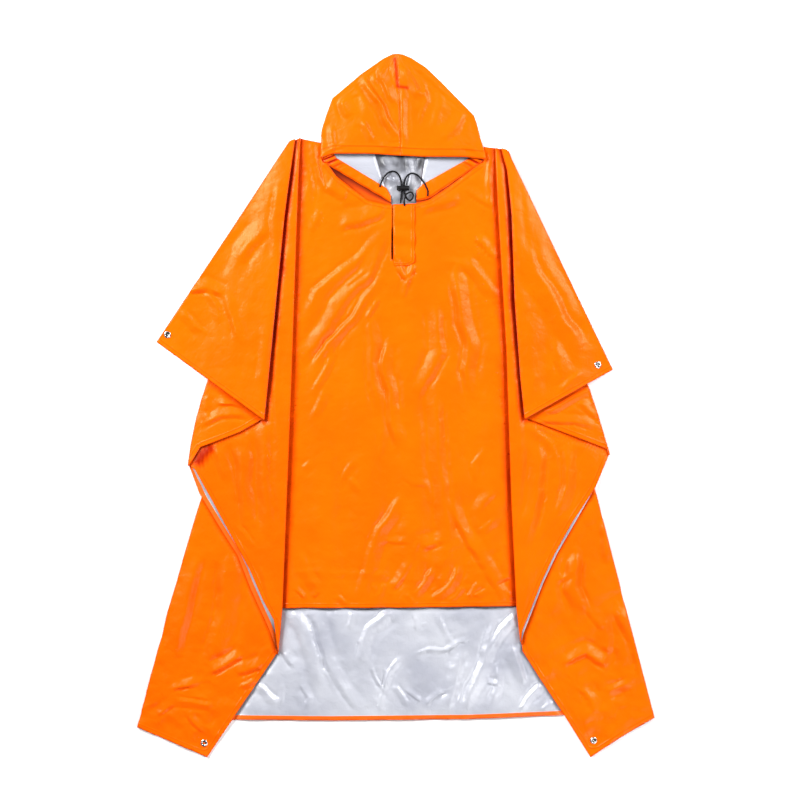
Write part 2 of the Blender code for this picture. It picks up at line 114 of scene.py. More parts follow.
# The room gives a pale glow from the sides and none from straight above.
world = bpy.data.worlds.new("studio")
world.use_nodes = True
walls = world.node_tree.nodes
around = walls.new("ShaderNodeTexCoord")
upright = walls.new("ShaderNodeSeparateXYZ")
glow = walls.new("ShaderNodeMapRange")
glow.inputs["From Min"].default_value, glow.inputs["From Max"].default_value = 0.3, 0.9
glow.inputs["To Min"].default_value, glow.inputs["To Max"].default_value = 0.24, 0.03
world.node_tree.links.new(around.outputs["Generated"], upright.inputs["Vector"])
world.node_tree.links.new(upright.outputs["Z"], glow.inputs["Value"])
world.node_tree.links.new(glow.outputs["Result"], walls["Background"].inputs["Strength"])
walls["Background"].inputs["Color"].default_value = (1, 1, 1, 1)
scene.world = world

# ---------------------------------------------------------------- drawcord and cord lock
# One black braided cord, 3.4 mm thick, runs in the tunnel round the face opening. Both ends come out at the
# throat, through the cord lock, and lie on the hood's lining in the loops of the photograph. Sizes are in mm.
CORD_RADIUS = 1.7
CORD_LEVEL = 7
# Each point has its place in the plan and its lift above the cords' level.
CORD_LEFT = [(-33, 446.5, 0), (-29.5, 455.5, 0), (-23, 468, 0), (-14, 476.5, 0), (-4.5, 478.5, 0),
             (3.5, 474.5, 0), (8.7, 466, 0), (11.3, 456.5, 0), (11.6, 444.5, 0), (11.4, 432, 0),
             (10.4, 422, 0), (9.8, 413, 0)]
CORD_RIGHT = [(65, 428, 0), (66, 437, 0), (63, 445.5, 0), (58, 454.5, 0), (51.5, 463, 0), (44, 471, 0),
              (35.5, 474.5, 0), (27, 472.5, 0), (21, 465.5, 0), (18, 456.5, 0), (17.7, 444.5, 0),
              (18, 435, 0), (20.5, 426, 0), (26.5, 419, 0), (33, 421, 1), (36, 428.5, 2.6),
              (32.5, 435, 3.8), (25, 434, 4.2), (19.5, 427, 4.2), (17.5, 417.5, 3), (18, 407.5, 1)]


def combine(material, operation, first, second):
    """One value worked out from two outputs."""
    node = wire(material, "ShaderNodeMath", [(0, first), (1, second)], operation=operation)
    return node.outputs["Value"]


def roughen(material, height, strength, depth):
    """Raise the surface by this output, in the shader only; the depth is in metres."""
    bump = wire(material, "ShaderNodeBump", [("Height", height)], Strength=strength, Distance=depth)
    feed(material, "Normal", bump.outputs["Normal"])


cord_braid = new_material("cord_braid", (0.004, 0.004, 0.005), 0.6, Specular_IOR_Level=0.15)
place = wire(cord_braid, "ShaderNodeTexCoord")
strands = []
for turn in (0.8, -0.8):
    turned = wire(cord_braid, "ShaderNodeMapping", [("Vector", place.outputs["Object"])],
                  Rotation=(0, 0, turn))
    strand = wire(cord_braid, "ShaderNodeTexWave", [("Vector", turned.outputs["Vector"])],
                  Scale=330, Distortion=0.4)
    strands.append(strand.outputs["Fac"])
roughen(cord_braid, combine(cord_braid, "MAXIMUM", *strands), 0.6, 0.0003)


def smooth_route(points, step=3.0, between=12):
    """Points at even steps along a smooth curve through the cord's own points, and its length, in mm."""
    route = [Vector(p) for p in points]
    route = [2 * route[0] - route[1]] + route + [2 * route[-1] - route[-2]]
    fine = []
    for i in range(1, len(route) - 2):
        a, b, c, d = route[i - 1:i + 3]
        for k in range(between):
            t = k / between
            fine.append(0.5 * (2 * b + (c - a) * t + (2 * a - 5 * b + 4 * c - d) * t ** 2
                               + (3 * b - a - 3 * c + d) * t ** 3))
    fine.append(route[-2])
    length = sum((q - p).length for p, q in zip(fine, fine[1:]))
    spacing = length / round(length / step)
    even, travelled = [fine[0]], 0.0
    for p, q in zip(fine, fine[1:]):
        travelled += (q - p).length
        if travelled >= spacing * len(even) - 1e-6:
            even.append(q)
    return even, length


for name, route in (("drawcord_left", CORD_LEFT), ("drawcord_right", CORD_RIGHT)):
    points, length = smooth_route([(x, y, CORD_LEVEL + lift) for x, y, lift in route])
    curve = bpy.data.curves.new(f"{name}_braided", "CURVE")
    curve.dimensions = "3D"
    curve.bevel_depth = CORD_RADIUS / 1000
    curve.bevel_resolution = 6
    curve.use_fill_caps = True
    spline = curve.splines.new("POLY")
    spline.points.add(len(points) - 1)
    for slot, point in zip(spline.points, points):
        slot.co = (*(point / 1000), 1)
    curve.materials.append(cord_braid)
    cord = new_object(f"{name}_braided", curve)
    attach(cord, "root")
    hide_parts(name)

# The cord lock is a moulded barrel with rounded ends and a shallow groove near each of them.
LOCK_MIDDLE = (14.65, 444.5, CORD_LEVEL)
LOCK_RADIUS = 5.2
LOCK_LENGTH = 25
GROOVE_START = 7.9
GROOVE_END = 9.4
lock = bmesh.new()
bmesh.ops.create_cone(lock, cap_ends=True, segments=40, radius1=LOCK_RADIUS, radius2=LOCK_RADIUS,
                      depth=LOCK_LENGTH)
rims = [e for e in lock.edges if abs(e.verts[0].co.z - e.verts[1].co.z) < 0.01]
bmesh.ops.bevel(lock, geom=rims, offset=1.3, affect="EDGES", segments=4, profile=0.5, material=-1)
for height in (-GROOVE_END, -GROOVE_START, GROOVE_START, GROOVE_END):
    bmesh.ops.bisect_plane(lock, geom=lock.verts[:] + lock.edges[:] + lock.faces[:], plane_co=(0, 0, height),
                           plane_no=(0, 0, 1))
for vert in lock.verts:
    if GROOVE_START - 0.4 < abs(vert.co.z) < GROOVE_END + 0.4:
        vert.co.x *= 0.9
        vert.co.y *= 0.9
bmesh.ops.rotate(lock, verts=lock.verts, cent=(0, 0, 0),
                 matrix=Vector((1, 0, 0)).to_track_quat("Z", "Y").to_matrix())
bmesh.ops.translate(lock, verts=lock.verts, vec=LOCK_MIDDLE)
bmesh.ops.scale(lock, verts=lock.verts, vec=(0.001, 0.001, 0.001))
for face in lock.faces:
    face.smooth = True
lock_mesh = bpy.data.meshes.new("cord_lock_barrel")
lock.to_mesh(lock_mesh)
lock_plastic = new_material("lock_plastic", (0.006, 0.006, 0.007), 0.45, Specular_IOR_Level=0.25)
grain = wire(lock_plastic, "ShaderNodeTexNoise", Scale=1800, Detail=2)
roughen(lock_plastic, grain.outputs["Fac"], 0.15, 0.0002)
lock_mesh.materials.append(lock_plastic)
cord_lock = new_object("cord_lock_barrel", lock_mesh)
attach(cord_lock, "root")
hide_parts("cord_lock")

# ---------------------------------------------------------------- front panel
# The front half of the sheet: glossy coated orange outside, silver-coated inside, with turned and stitched
# hems. It has the neck opening and the chest slit, and its sides are pleated over it in four layers each.
CLOTH = 1.2  # the wall of the solids, in mm as the sizes below
WALL = 0.6  # the wall that is drawn
PITCH = 1.4  # from one layer to the next
DRAPE = 60  # how far a cloth takes to come down off an edge
# The lines of the folded cloth in the plan. Each side has four plies: 1 is the upper wing, 2 the fold under
# it, 3 the strip beside the front and 4 the lower wing. The middle of a panel is its ply 5.
LEFT = {
    "shoulder": [(-217, 539.5), (-490, 129.5)],
    "fold_1": [(-208, 543.5), (-228, 389), (-269.5, -30)],
    "fold_2": [(-221.5, 530), (-280, 369), (-337, 195), (-386, 41), (-404.5, -20), (-417, -81), (-423, -124)],
    "fold_3": [(-197, 546.5), (-200, 481), (-203, 389), (-216, 11), (-233, -415), (-241, -504), (-241, -510)],
    "fold_4": [(-210, 540.5), (-392, -177), (-464.5, -423), (-527, -660)],
    "edge_2": [(-318.5, -55), (-370, -75), (-400, -86)],
    "edge_3_front": [(-411, -131), (-376, -194), (-343, -255), (-298, -337), (-271.5, -398), (-249, -439)],
    "edge_3_back": [(-402, -180), (-357, -255), (-323, -308), (-296, -378), (-258, -460)],
    "edge_4_back": [(-386, -720.5)],
}
RIGHT = {
    "shoulder": [(227.5, 522), (444.5, 73)],
    "fold_1": [(217.5, 525), (229.5, 481), (238, 389), (244, 215), (256, 52), (264.5, -28)],
    "fold_2": [(229.5, 519), (391, 41), (411.5, -20), (436, -102)],
    "fold_3": [(206, 526), (207, 481), (211, 389), (227.5, 113), (237.5, -194), (248, -415), (256, -484),
               (256, -490)],
    "fold_4": [(222.5, 523), (405.5, -173), (469, -419), (527, -640.5)],
    "edge_2": [(432, -89.5)],
    "edge_3_front": [(407.5, -169), (362.5, -237), (325, -304), (298, -361), (257.5, -464)],
    "edge_3_back": [(406, -171), (367.5, -238.5), (329.5, -304.5), (302.5, -361.5), (261.5, -466)],
    "edge_4_back": [(259, -503), (298, -564), (344, -633), (398.5, -720.5), (458.5, -680.5)],
}
FRONT_HEM = [(-233, -415.5), (8.5, -414.5), (254, -411.5)]
BACK_HEM = [(-322.5, -643.5), (-134.5, -645.5), (152, -642.5), (344, -634.5)]
NECK = [(-151.5, 536), (-147, 504), (-121.5, 469), (-87.5, 442), (-57, 420), (-22, 412), (-7.5, 411),
        (41, 413), (68, 420.5), (108, 447), (176, 497.5), (180.5, 529)]
NECK_SEAM = NECK[1:11]
BACK_SHOULDER = [(-143.5, 536), (10.5, 534), (166, 529)]


def tucked(fold, inset, taper=160):
    """The lower ply's edge at a fold, a little outwards of the upper one's, so that the fold overhangs it."""
    outwards = -1 if fold[0][0] < 0 else 1
    top = fold[0][1]
    return [(x + outwards * inset * min(1, max(0, top - y) / taper), y) for x, y in fold]


def side_plies(side, panel):
    """The four plies of one side: left and right edge, lower and upper edge, each in the plan, in mm."""
    last = 2 if panel == "front" else 1
    end_3, end_4 = len(side["fold_3"]) - last + 1, len(side["fold_4"]) - last + 1
    fold_3, fold_4 = side["fold_3"][:end_3], side["fold_4"][:end_4]
    shoulder, fold_1, fold_2 = side["shoulder"], side["fold_1"], side["fold_2"]
    foot_4 = [fold_3[-1]] + (side["edge_4_back"] if panel == "back" else []) + [fold_4[-1]]
    under_1, under_3 = tucked(fold_1, 6), tucked(fold_3, 4)
    return {
        1: (shoulder, fold_1, [shoulder[-1], fold_1[-1]]),
        2: (under_1, fold_2, [under_1[-1], *side["edge_2"], fold_2[-1]]),
        3: (fold_2, fold_3, [fold_2[-1], *side[f"edge_3_{panel}"], fold_3[-1]]),
        4: (under_3, fold_4, [under_3[-1], *foot_4[1:]]),
    }


plies = {}
for panel in ("front", "back"):
    for name, side in (("left", LEFT), ("right", RIGHT)):
        for number, (outer, inner, foot) in side_plies(side, panel).items():
            plies[f"{panel}_{name}_{number}"] = (outer[::-1], inner[::-1], foot)
    left_4, right_4 = plies[f"{panel}_left_4"][1], plies[f"{panel}_right_4"][1]
    hem = [left_4[0], *(FRONT_HEM if panel == "front" else BACK_HEM), right_4[0]]
    shoulder = NECK if panel == "front" else BACK_SHOULDER
    head = [left_4[-1], LEFT["fold_3"][0], *shoulder, RIGHT["fold_3"][0], right_4[-1]]
    plies[f"{panel}_5"] = (left_4, right_4, hem, head)


def outline(ply):
    """The closed outline of a ply, from its four edges."""
    first, second, foot, *head = plies[ply]
    return first[::-1] + foot[1:-1] + second + (head[0][1:-1][::-1] if head else [])


HOOD_SEAM = [(4, 720), (6, 661), (8, 594), (10.5, 520), (11, 510)]
HOOD_LEFT = [(-152.5, 549), (-151, 563), (-141, 596), (-129, 628), (-71, 677), (-24, 710), (-5, 719)]
HOOD_RIGHT = [(172, 549), (164, 579), (159, 593), (92.5, 661), (60, 692), (31, 710.5), (12, 718.5)]
TUNNEL_LEFT = [(-149, 497.5), (-122, 506.5), (-19, 444.5), (-10, 428), (-10, 415), (-18, 419)]
TUNNEL_RIGHT = [(178.5, 497.5), (152, 506.5), (55.5, 452.5), (43, 440), (42, 418), (62, 420), (70, 423)]
HOOD_REAR_LEFT = [(-142.6, 540), (-142.8, 535.5), (-146.3, 504.3), (-121, 469.6), (-87.1, 442.6),
                  (-56.7, 420.7), (-22, 412.7), (-12, 412.2), (-20, 440), (-40.5, 508), (-47.5, 522),
                  (10, 520)]
HOOD_REAR_RIGHT = [(164.6, 540), (165.3, 528.5), (175.2, 498.2), (107.6, 447.6), (67.8, 421.1), (42, 414),
                   (49.5, 440), (60, 506), (65, 522), (11, 520)]
outlines = {name: outline(name) for name in plies}
outlines["hood_rear_left"] = HOOD_LEFT[::-1] + HOOD_REAR_LEFT
outlines["hood_rear_right"] = HOOD_RIGHT[::-1] + HOOD_REAR_RIGHT
outlines["tunnel_left"] = TUNNEL_LEFT
outlines["tunnel_right"] = TUNNEL_RIGHT
outlines["hood_front"] = [(-154, 505), *HOOD_LEFT, *HOOD_RIGHT[::-1], (184, 505), (144, 507), (11, 510),
                          (-129, 514)]


def inside(points, name):
    """Which points lie inside the outline, by counting crossings."""
    ring = np.array(outlines[name])
    x, y = points[:, 0:1], points[:, 1:2]
    ax, ay = ring[:, 0], ring[:, 1]
    bx, by = np.roll(ax, -1), np.roll(ay, -1)
    rise = np.where(by == ay, 1e-12, by - ay)
    return (((ay > y) != (by > y)) & (x < (bx - ax) * (y - ay) / rise + ax)).sum(axis=1) % 2 == 1


def distance(points, line, closed=False):
    """Distance from each point to the nearest place on a line."""
    ring = np.array(line, float)
    a = ring if closed else ring[:-1]
    run = np.roll(ring, -1, axis=0) - ring if closed else ring[1:] - a
    length = np.maximum((run ** 2).sum(axis=1), 1e-12)
    best = np.full(len(points), 1e9)
    for start, step, square in zip(a, run, length):
        away = points - start
        along = np.clip(away @ step / square, 0, 1)
        best = np.minimum(best, np.hypot(*(away - along[:, None] * step).T))
    return best


def smooth(value):
    """0 below 0, 1 above 1 and a soft S between them."""
    value = np.clip(value, 0, 1)
    return value * value * (3 - 2 * value)


def outside_by(points, names):
    """Distance from each point to the nearest of the outlines, 0 inside them."""
    best = np.full(len(points), 1e9)
    for name in names:
        best = np.minimum(best, np.where(inside(points, name), 0, distance(points, outlines[name], True)))
    return best


SIDES = ("left", "right")
# From the floor up; the plies of one layer lie side by side.
LAYERS = [["back_5"], ["front_5", "hood_rear_left", "hood_rear_right"]]
for panel, number in (("front", 4), ("back", 4), ("back", 3), ("front", 3),
                      ("front", 2), ("back", 2), ("back", 1), ("front", 1)):
    LAYERS.append([f"{panel}_{side}_{number}" for side in SIDES])


def level(points, layers):
    """Height of the middle of a wall on these layers: each adds its pitch, and the wall drapes off it."""
    height = np.full(len(points), CLOTH / 2)
    for names in layers:
        height += PITCH * (1 - smooth(outside_by(points, names) / DRAPE))
    return height


def layers_under(ply):
    """The layers below the one that this ply is in."""
    return LAYERS[:next(i for i, names in enumerate(LAYERS) if ply in names)]


def along(line, parts):
    """Points at the given parts of the line's length; the nearest of them move to its corners."""
    line = np.array(line, float)
    run = np.concatenate([[0], np.cumsum(np.hypot(*np.diff(line, axis=0).T))])
    far = np.array(parts) * run[-1]
    free = np.ones(len(far), bool)
    free[[0, -1]] = False
    for corner in run[1:-1]:
        nearest = np.argmin(np.where(free, np.abs(far - corner), np.inf))
        far[nearest], free[nearest] = corner, False
    far.sort()
    return np.stack([np.interp(far, run, line[:, k]) for k in (0, 1)], axis=-1)


def net(left, right, foot, head, columns, rows):
    """A net of plan points stretched between four edges."""
    a, b, c, d = along(left, rows), along(right, rows), along(foot, columns), along(head, columns)
    u, v = columns[None, :, None], rows[:, None, None]
    return ((1 - u) * a[:, None] + u * b[:, None] + (1 - v) * c[None] + v * d[None]
            - (1 - u) * (1 - v) * c[0] - u * (1 - v) * c[-1] - (1 - u) * v * d[0] - u * v * d[-1])


def crumple(points, size, seed):
    """Soft folds of no fixed direction, about -1 to 1."""
    return np.array([noise.fractal((x / size + seed, y / size - seed, seed), 0.9, 2.1, 3) for x, y in points])


def creases(points, table, seed=0.0):
    """Soft creases, steeper on one side than on the other. A row is a line, its half width and its height."""
    height = np.zeros(len(points))
    # The lines run a little wavy.
    points = points + 5 * np.stack([crumple(points, 70, 4.4), crumple(points, 70, 8.8)], axis=1)
    for number, (line, width, rise) in enumerate(table):
        line = np.array(line, float)
        run = np.hypot(*np.diff(line, axis=0).T)
        start = np.concatenate([[0], np.cumsum(run)])
        best, part, side = np.full(len(points), 1e9), np.zeros(len(points)), np.ones(len(points))
        for i, (a, b) in enumerate(zip(line, line[1:])):
            step = b - a
            away = points - a
            t = np.clip(away @ step / run[i] ** 2, 0, 1)
            off = away - t[:, None] * step
            far = np.hypot(*off.T)
            nearer = far < best
            best = np.where(nearer, far, best)
            part = np.where(nearer, (start[i] + t * run[i]) / start[-1], part)
            side = np.where(nearer, np.sign(step[0] * away[:, 1] - step[1] * away[:, 0]), side)
        lean = 1 + (0.35 if number % 3 else -0.25) * side
        swell = 0.88 + 0.17 * np.sin(part * (3 + number % 3) + number + seed)
        end = smooth((part + 0.06) / 0.26) * smooth((1.05 - part) / 0.3)
        reach = best / (0.95 * width * lean)
        crest = np.maximum(1.1 - np.sqrt(reach ** 2 + 0.01), 0) ** 1.5
        dip = 0.34 * np.exp(-((reach - 1.3) / 0.36) ** 2)
        height += 1.75 * rise * swell * end * (crest - dip)
    return height


CREASES = {
    "front_5": [
        ([(-172, 538), (-166, 515), (-160, 480), (-150, 440)], 9, 3.0),
        ([(-185, 500), (-178, 460), (-190, 400)], 10, 2.4),
        ([(198, 520), (190, 490), (186, 450), (192, 400)], 10, 2.8),
        ([(-18, 342), (-61, 260), (-112, 210), (-146, 154), (-201, 83)], 15, 4.6),
        ([(-21, 357), (-80, 298), (-133, 257), (-165, 229), (-185, 176)], 17, 3.6),
        ([(-36, 254), (-99, 173), (-143, 123), (-176, 73)], 11, 3.2),
        ([(-36, 220), (-61, 177)], 10, 2.0),
        ([(-112, 369), (-61, 379), (-16, 403)], 18, 4.4),
        ([(-143, 454), (-99, 425)], 20, 4.2),
        ([(-155, 400), (-177, 351)], 9, 2.0),
        ([(-129, 124), (-146, 73), (-171, 26)], 9, 2.2),
        ([(-143, 32), (-173, -28)], 10, 1.8),
        ([(86, 204), (92, 107), (70, 63), (42, 16)], 15, 4.4),
        ([(123, 273), (136, 179), (149, 123), (140, 73), (153, 10)], 16, 5.4),
        ([(167, 342), (203, 299)], 10, 3.6),
        ([(150, 299), (209, 221)], 14, 4.6),
        ([(-52, 185), (-49, 85), (-36, -21)], 14, 4.2),
        ([(-18, 132), (-24, 85), (-7, -21)], 13, 4.4),
        ([(33, 265), (18, 221)], 9, 1.8),
        ([(1, 285), (20, 260), (45, 285)], 8, 2.8),
        ([(5, 300), (12, 270), (22, 250)], 6, 2.4),
        ([(38, 290), (30, 262), (24, 240)], 6, 2.4),
        ([(53, 401), (136, 424)], 18, 4.6),
        ([(140, 448), (170, 426), (200, 401)], 10, 2.0),
        ([(95, 292), (151, 290)], 12, 1.2),
        ([(-102, 242), (-61, 281)], 7, 1.6),
        ([(11, -191), (-33, -255), (-55, -309), (-78, -398)], 14, 4.2),
        ([(86, 30), (89, -83), (96, -177), (109, -240), (108, -293)], 17, 5.4),
        ([(109, -190), (155, -287), (195, -349), (225, -407)], 13, 4.6),
        ([(-21, 23), (7, -86)], 15, 4.4),
        ([(32, -312), (-3, -382)], 11, 3.2),
        ([(76, -329), (64, -359), (41, -391)], 9, 3.0),
        ([(128, -326), (111, -370), (72, -400)], 11, 3.6),
        ([(140, -370), (115, -402)], 9, 2.4),
        ([(169, -360), (148, -394)], 8, 2.4),
        ([(184, -374), (159, -391)], 7, 2.0),
        ([(50, -276), (35, -307)], 7, 1.8),
        ([(-35, -280), (28, -281)], 9, 1.6),
        ([(53, -292), (103, -271)], 14, 3.0),
        ([(197, -176), (166, -222)], 11, 2.2),
        ([(203, -230), (169, -260)], 10, 2.0),
        ([(184, -92), (158, -122), (166, -158)], 9, 1.8),
        ([(-198, -299), (-180, -349), (-153, -382)], 13, 2.4),
        ([(-173, -114), (-194, -130)], 9, 1.2),
        ([(-94, -116), (-113, -152)], 9, 1.4),
        ([(-99, -147), (-66, -180)], 9, 1.2),
        ([(-32, -46), (-29, -93), (-36, -114)], 9, 1.4),
        ([(14, -140), (32, -160), (61, -165), (76, -208)], 10, 1.6),
        ([(-218, -343), (-105, -342), (1, -349)], 10, 1.2),
        ([(-209, -374), (-187, -396)], 7, 1.6),
        ([(-169, -393), (-155, -377)], 7, 1.6),
        ([(-121, -387), (-99, -406)], 7, 1.8),
        ([(-43, -365), (-40, -399)], 7, 1.4),
        ([(-21, -365), (-33, -393)], 7, 1.4),
        ([(26, -387), (39, -407)], 6, 1.6),
        ([(202, -359), (233, -349)], 9, 2.0),
        ([(230, -381), (239, -399)], 7, 1.6),
    ],
    "back_5": [
        ([(-208, -422), (-179, -466), (-161, -520), (-153, -577)], 17, 4.6),
        ([(-164, -427), (-139, -520), (-108, -582), (-73, -631)], 13, 3.4),
        ([(-9, -420), (-51, -458), (-68, -493), (-74, -531)], 13, 4.0),
        ([(133, -498), (124, -555), (104, -628)], 13, 4.4),
        ([(198, -435), (178, -529), (153, -582), (142, -628)], 15, 4.8),
        ([(251, -427), (215, -458), (191, -498)], 12, 3.4),
        ([(233, -493), (251, -533), (264, -573)], 12, 3.4),
        ([(300, -568), (269, -600), (251, -626)], 10, 3.0),
        ([(326, -600), (300, -626)], 9, 2.4),
        ([(-284, -568), (-266, -591), (-244, -615)], 10, 3.4),
        ([(-228, -506), (-206, -537)], 11, 2.4),
        ([(7, -515), (-13, -546), (-26, -591)], 8, 2.8),
        ([(-49, -529), (-33, -568), (-23, -586)], 5, 1.8),
        ([(-20, -537), (-21, -577)], 5, 1.6),
        ([(-29, -591), (-33, -626)], 7, 2.0),
        ([(0, -577), (25, -617)], 7, 2.0),
        ([(16, -582), (51, -608)], 6, 1.6),
        ([(60, -617), (87, -591), (104, -582)], 8, 2.0),
        ([(42, -506), (73, -498), (113, -502)], 6, 1.8),
        ([(104, -506), (127, -484), (153, -475)], 6, 1.6),
        ([(38, -431), (40, -462)], 8, 1.8),
        ([(87, -427), (109, -471), (122, -493)], 8, 1.8),
        ([(-86, -422), (-95, -458)], 9, 2.0),
        ([(-193, -568), (-179, -600), (-184, -626)], 8, 2.0),
        ([(-233, -573), (-235, -617)], 7, 1.8),
        ([(211, -533), (206, -577), (193, -617)], 10, 2.4),
        ([(184, -568), (215, -568)], 6, 1.4),
        ([(-135, -546), (-117, -586)], 9, 1.4),
        ([(-30, 500), (0, 470), (12, 440)], 9, 2.6),
        ([(20, 505), (28, 470), (24, 435)], 8, 2.6),
        ([(-35, 470), (5, 455)], 7, 2.0),
        ([(48, 505), (40, 478)], 7, 2.4),
    ],
    "back_left_4": [
        ([(-404, -309), (-432, -420), (-455, -522)], 20, 5.0),
        ([(-344, -327), (-358, -439), (-386, -531)], 22, 5.6),
        ([(-377, -543), (-316, -511)], 12, 4.5),
        ([(-451, -604), (-367, -613)], 9, 3.1),
        ([(-460, -582), (-404, -570)], 9, 2.8),
        ([(-326, -545), (-273, -530)], 11, 3.5),
        ([(-321, -573), (-291, -559)], 8, 2.4),
        ([(-423, -633), (-390, -671)], 9, 2.4),
        ([(-488, -633), (-455, -608)], 11, 2.4),
    ],
    "back_right_4": [
        ([(370, -304), (364, -374), (386, -425)], 18, 7.6),
        ([(328, -365), (386, -314)], 14, 2.8),
        ([(456, -416), (486, -485), (506, -555)], 16, 7.2),
        ([(438, -550), (447, -467), (440, -420)], 14, -3.4),
        ([(393, -418), (426, -457)], 12, 2.8),
        ([(342, -530), (393, -504), (440, -543)], 13, 4.4),
        ([(430, -587), (481, -564)], 11, 2.6),
        ([(384, -578), (412, -633)], 12, 2.4),
        ([(426, -235), (432, -327)], 17, 4.6),
    ],
    "front_left_1": [
        ([(-265, 364), (-300, 326), (-323, 292)], 19, 3.0),
        ([(-291, 342), (-328, 294), (-353, 249)], 14, 2.0),
        ([(-425, 236), (-390, 244), (-353, 227)], 12, 3.5),
        ([(-390, 244), (-367, 201), (-358, 164)], 9, 2.4),
        ([(-353, 227), (-328, 155), (-325, 127)], 11, 2.6),
        ([(-265, 173), (-269, 99), (-279, 34)], 16, 2.4),
        ([(-432, 192), (-395, 146)], 11, 2.1),
        ([(-237, 452), (-249, 377), (-245, 285)], 12, 2.6),
    ],
    "front_right_1": [
        ([(256, 340), (296, 257), (347, 164), (393, 104)], 22, 4.5),
        ([(282, 331), (319, 257), (370, 173)], 12, 2.6),
        ([(273, 173), (277, 81), (277, 16)], 19, 2.6),
        ([(338, 30), (384, 67)], 12, 2.3),
        ([(241, 433), (247, 340), (260, 257)], 12, 2.8),
        ([(319, 127), (347, 62)], 14, 2.1),
    ],
    "front_left_3": [
        ([(-265, -40), (-269, -142), (-256, -272)], 15, 4.6),
        ([(-321, -86), (-310, -179), (-306, -253)], 18, 5.0),
        ([(-363, -86), (-351, -151)], 14, 2.8),
        ([(-323, -246), (-282, -292)], 9, 2.1),
        ([(-237, 192), (-245, 44), (-237, -142)], 8, 2.1),
        ([(-275, -327), (-251, -420)], 11, 2.3),
    ],
    "front_right_3": [
        ([(296, -86), (289, -179), (271, -276)], 16, 4.8),
        ([(349, -91), (352, -161), (328, -225)], 14, 4.4),
        ([(276, -33), (347, -57), (416, -77)], 12, 3.1),
        ([(276, -40), (319, -77), (338, -123)], 11, 2.4),
        ([(247, 99), (252, -31), (258, -179)], 8, 2.1),
        ([(273, -327), (265, -411)], 11, 2.1),
    ],
    "back_left_2": [
        ([(-367, 44), (-312, 16), (-275, -7)], 9, 3.1),
        ([(-362, 6), (-300, -5)], 8, 2.4),
        ([(-397, -40), (-358, -20), (-300, -21)], 11, 2.8),
        ([(-384, 20), (-390, -31)], 11, 2.4),
    ],
    "back_right_2": [
        ([(276, -20), (338, 2), (403, 34)], 9, 2.8),
        ([(291, -31), (365, -31), (412, -49)], 9, 2.4),
        ([(375, 6), (412, -31)], 11, 2.4),
    ],
}
# What lies on each ply that shows; under it the ply is pressed flat.
COVERED_BY = {
    "front_5": ["front_left_3", "front_right_3", "back_left_4", "back_right_4", "tunnel_left", "tunnel_right",
                "hood_front"],
    "back_5": ["front_5", "back_left_4", "back_right_4", "hood_rear_left", "hood_rear_right"],
    "back_left_4": ["back_left_3"], "back_right_4": ["back_right_3"],
    "front_left_3": ["back_left_2", "front_left_1"], "front_right_3": ["back_right_2", "front_right_1"],
    "back_left_2": ["front_left_1"], "back_right_2": ["front_right_1"],
    "front_left_1": [], "front_right_1": [],
}
# How loosely each of them lies, as a height.
PUFF = {"front_5": 3.6, "back_5": 2.6, "back_left_4": 2.6, "back_right_4": 2.6, "front_left_3": 2.2,
        "front_right_3": 2.2, "back_left_2": 1.6, "back_right_2": 1.6, "front_left_1": 1.6,
        "front_right_1": 1.6}
RELIEF_LIMIT = 10.5
# Where painted shadow lies on the left strip, below the corner of the ply over it.
WING_CORNER = [(-383, -88), (-394, -99), (-403, -112)]
EYELET_REACH = 8  # the cloth is flat this far round an eyelet
EYELETS = {"left_wrist": (-467.5, 144.5, "front_left_1"), "right_wrist": (413.5, 82.5, "front_right_1"),
           "left_corner": (-392.5, -692, "back_left_4"), "right_corner": (405, -686.5, "back_right_4")}


def fold_lift(points, ply):
    """The inner edges of the upper wing and of the strip are loops of cloth that stand up a little."""
    side = LEFT if "left" in ply else RIGHT
    fold, rise, width = ("fold_1", 5.5, 36) if ply[-1] == "1" else ("fold_3", 6.5, 48)
    line = side[fold]
    taper = smooth((line[0][1] - points[:, 1]) / 90)
    return rise * taper * np.exp(-(distance(points, line) / width) ** 2)


def unrest(points, ply):
    """How crumpled the cloth is: most near the hems, least in the middle of the chest."""
    x, y = points.T
    if ply == "front_5":
        return 0.45 + 2.0 * smooth((-200 - y) / 170) * smooth((x + 210) / 230) + 0.5 * smooth((x - 120) / 100)
    if ply == "back_5":
        return np.full(len(x), 1.5)
    if ply[-1] == "4":
        return 1.1 + 1.7 * smooth((-430 - y) / 160)
    if ply[-1] == "1":
        return 0.35 + 0.6 * smooth((300 - y) / 120)
    return np.full(len(x), 1.0)


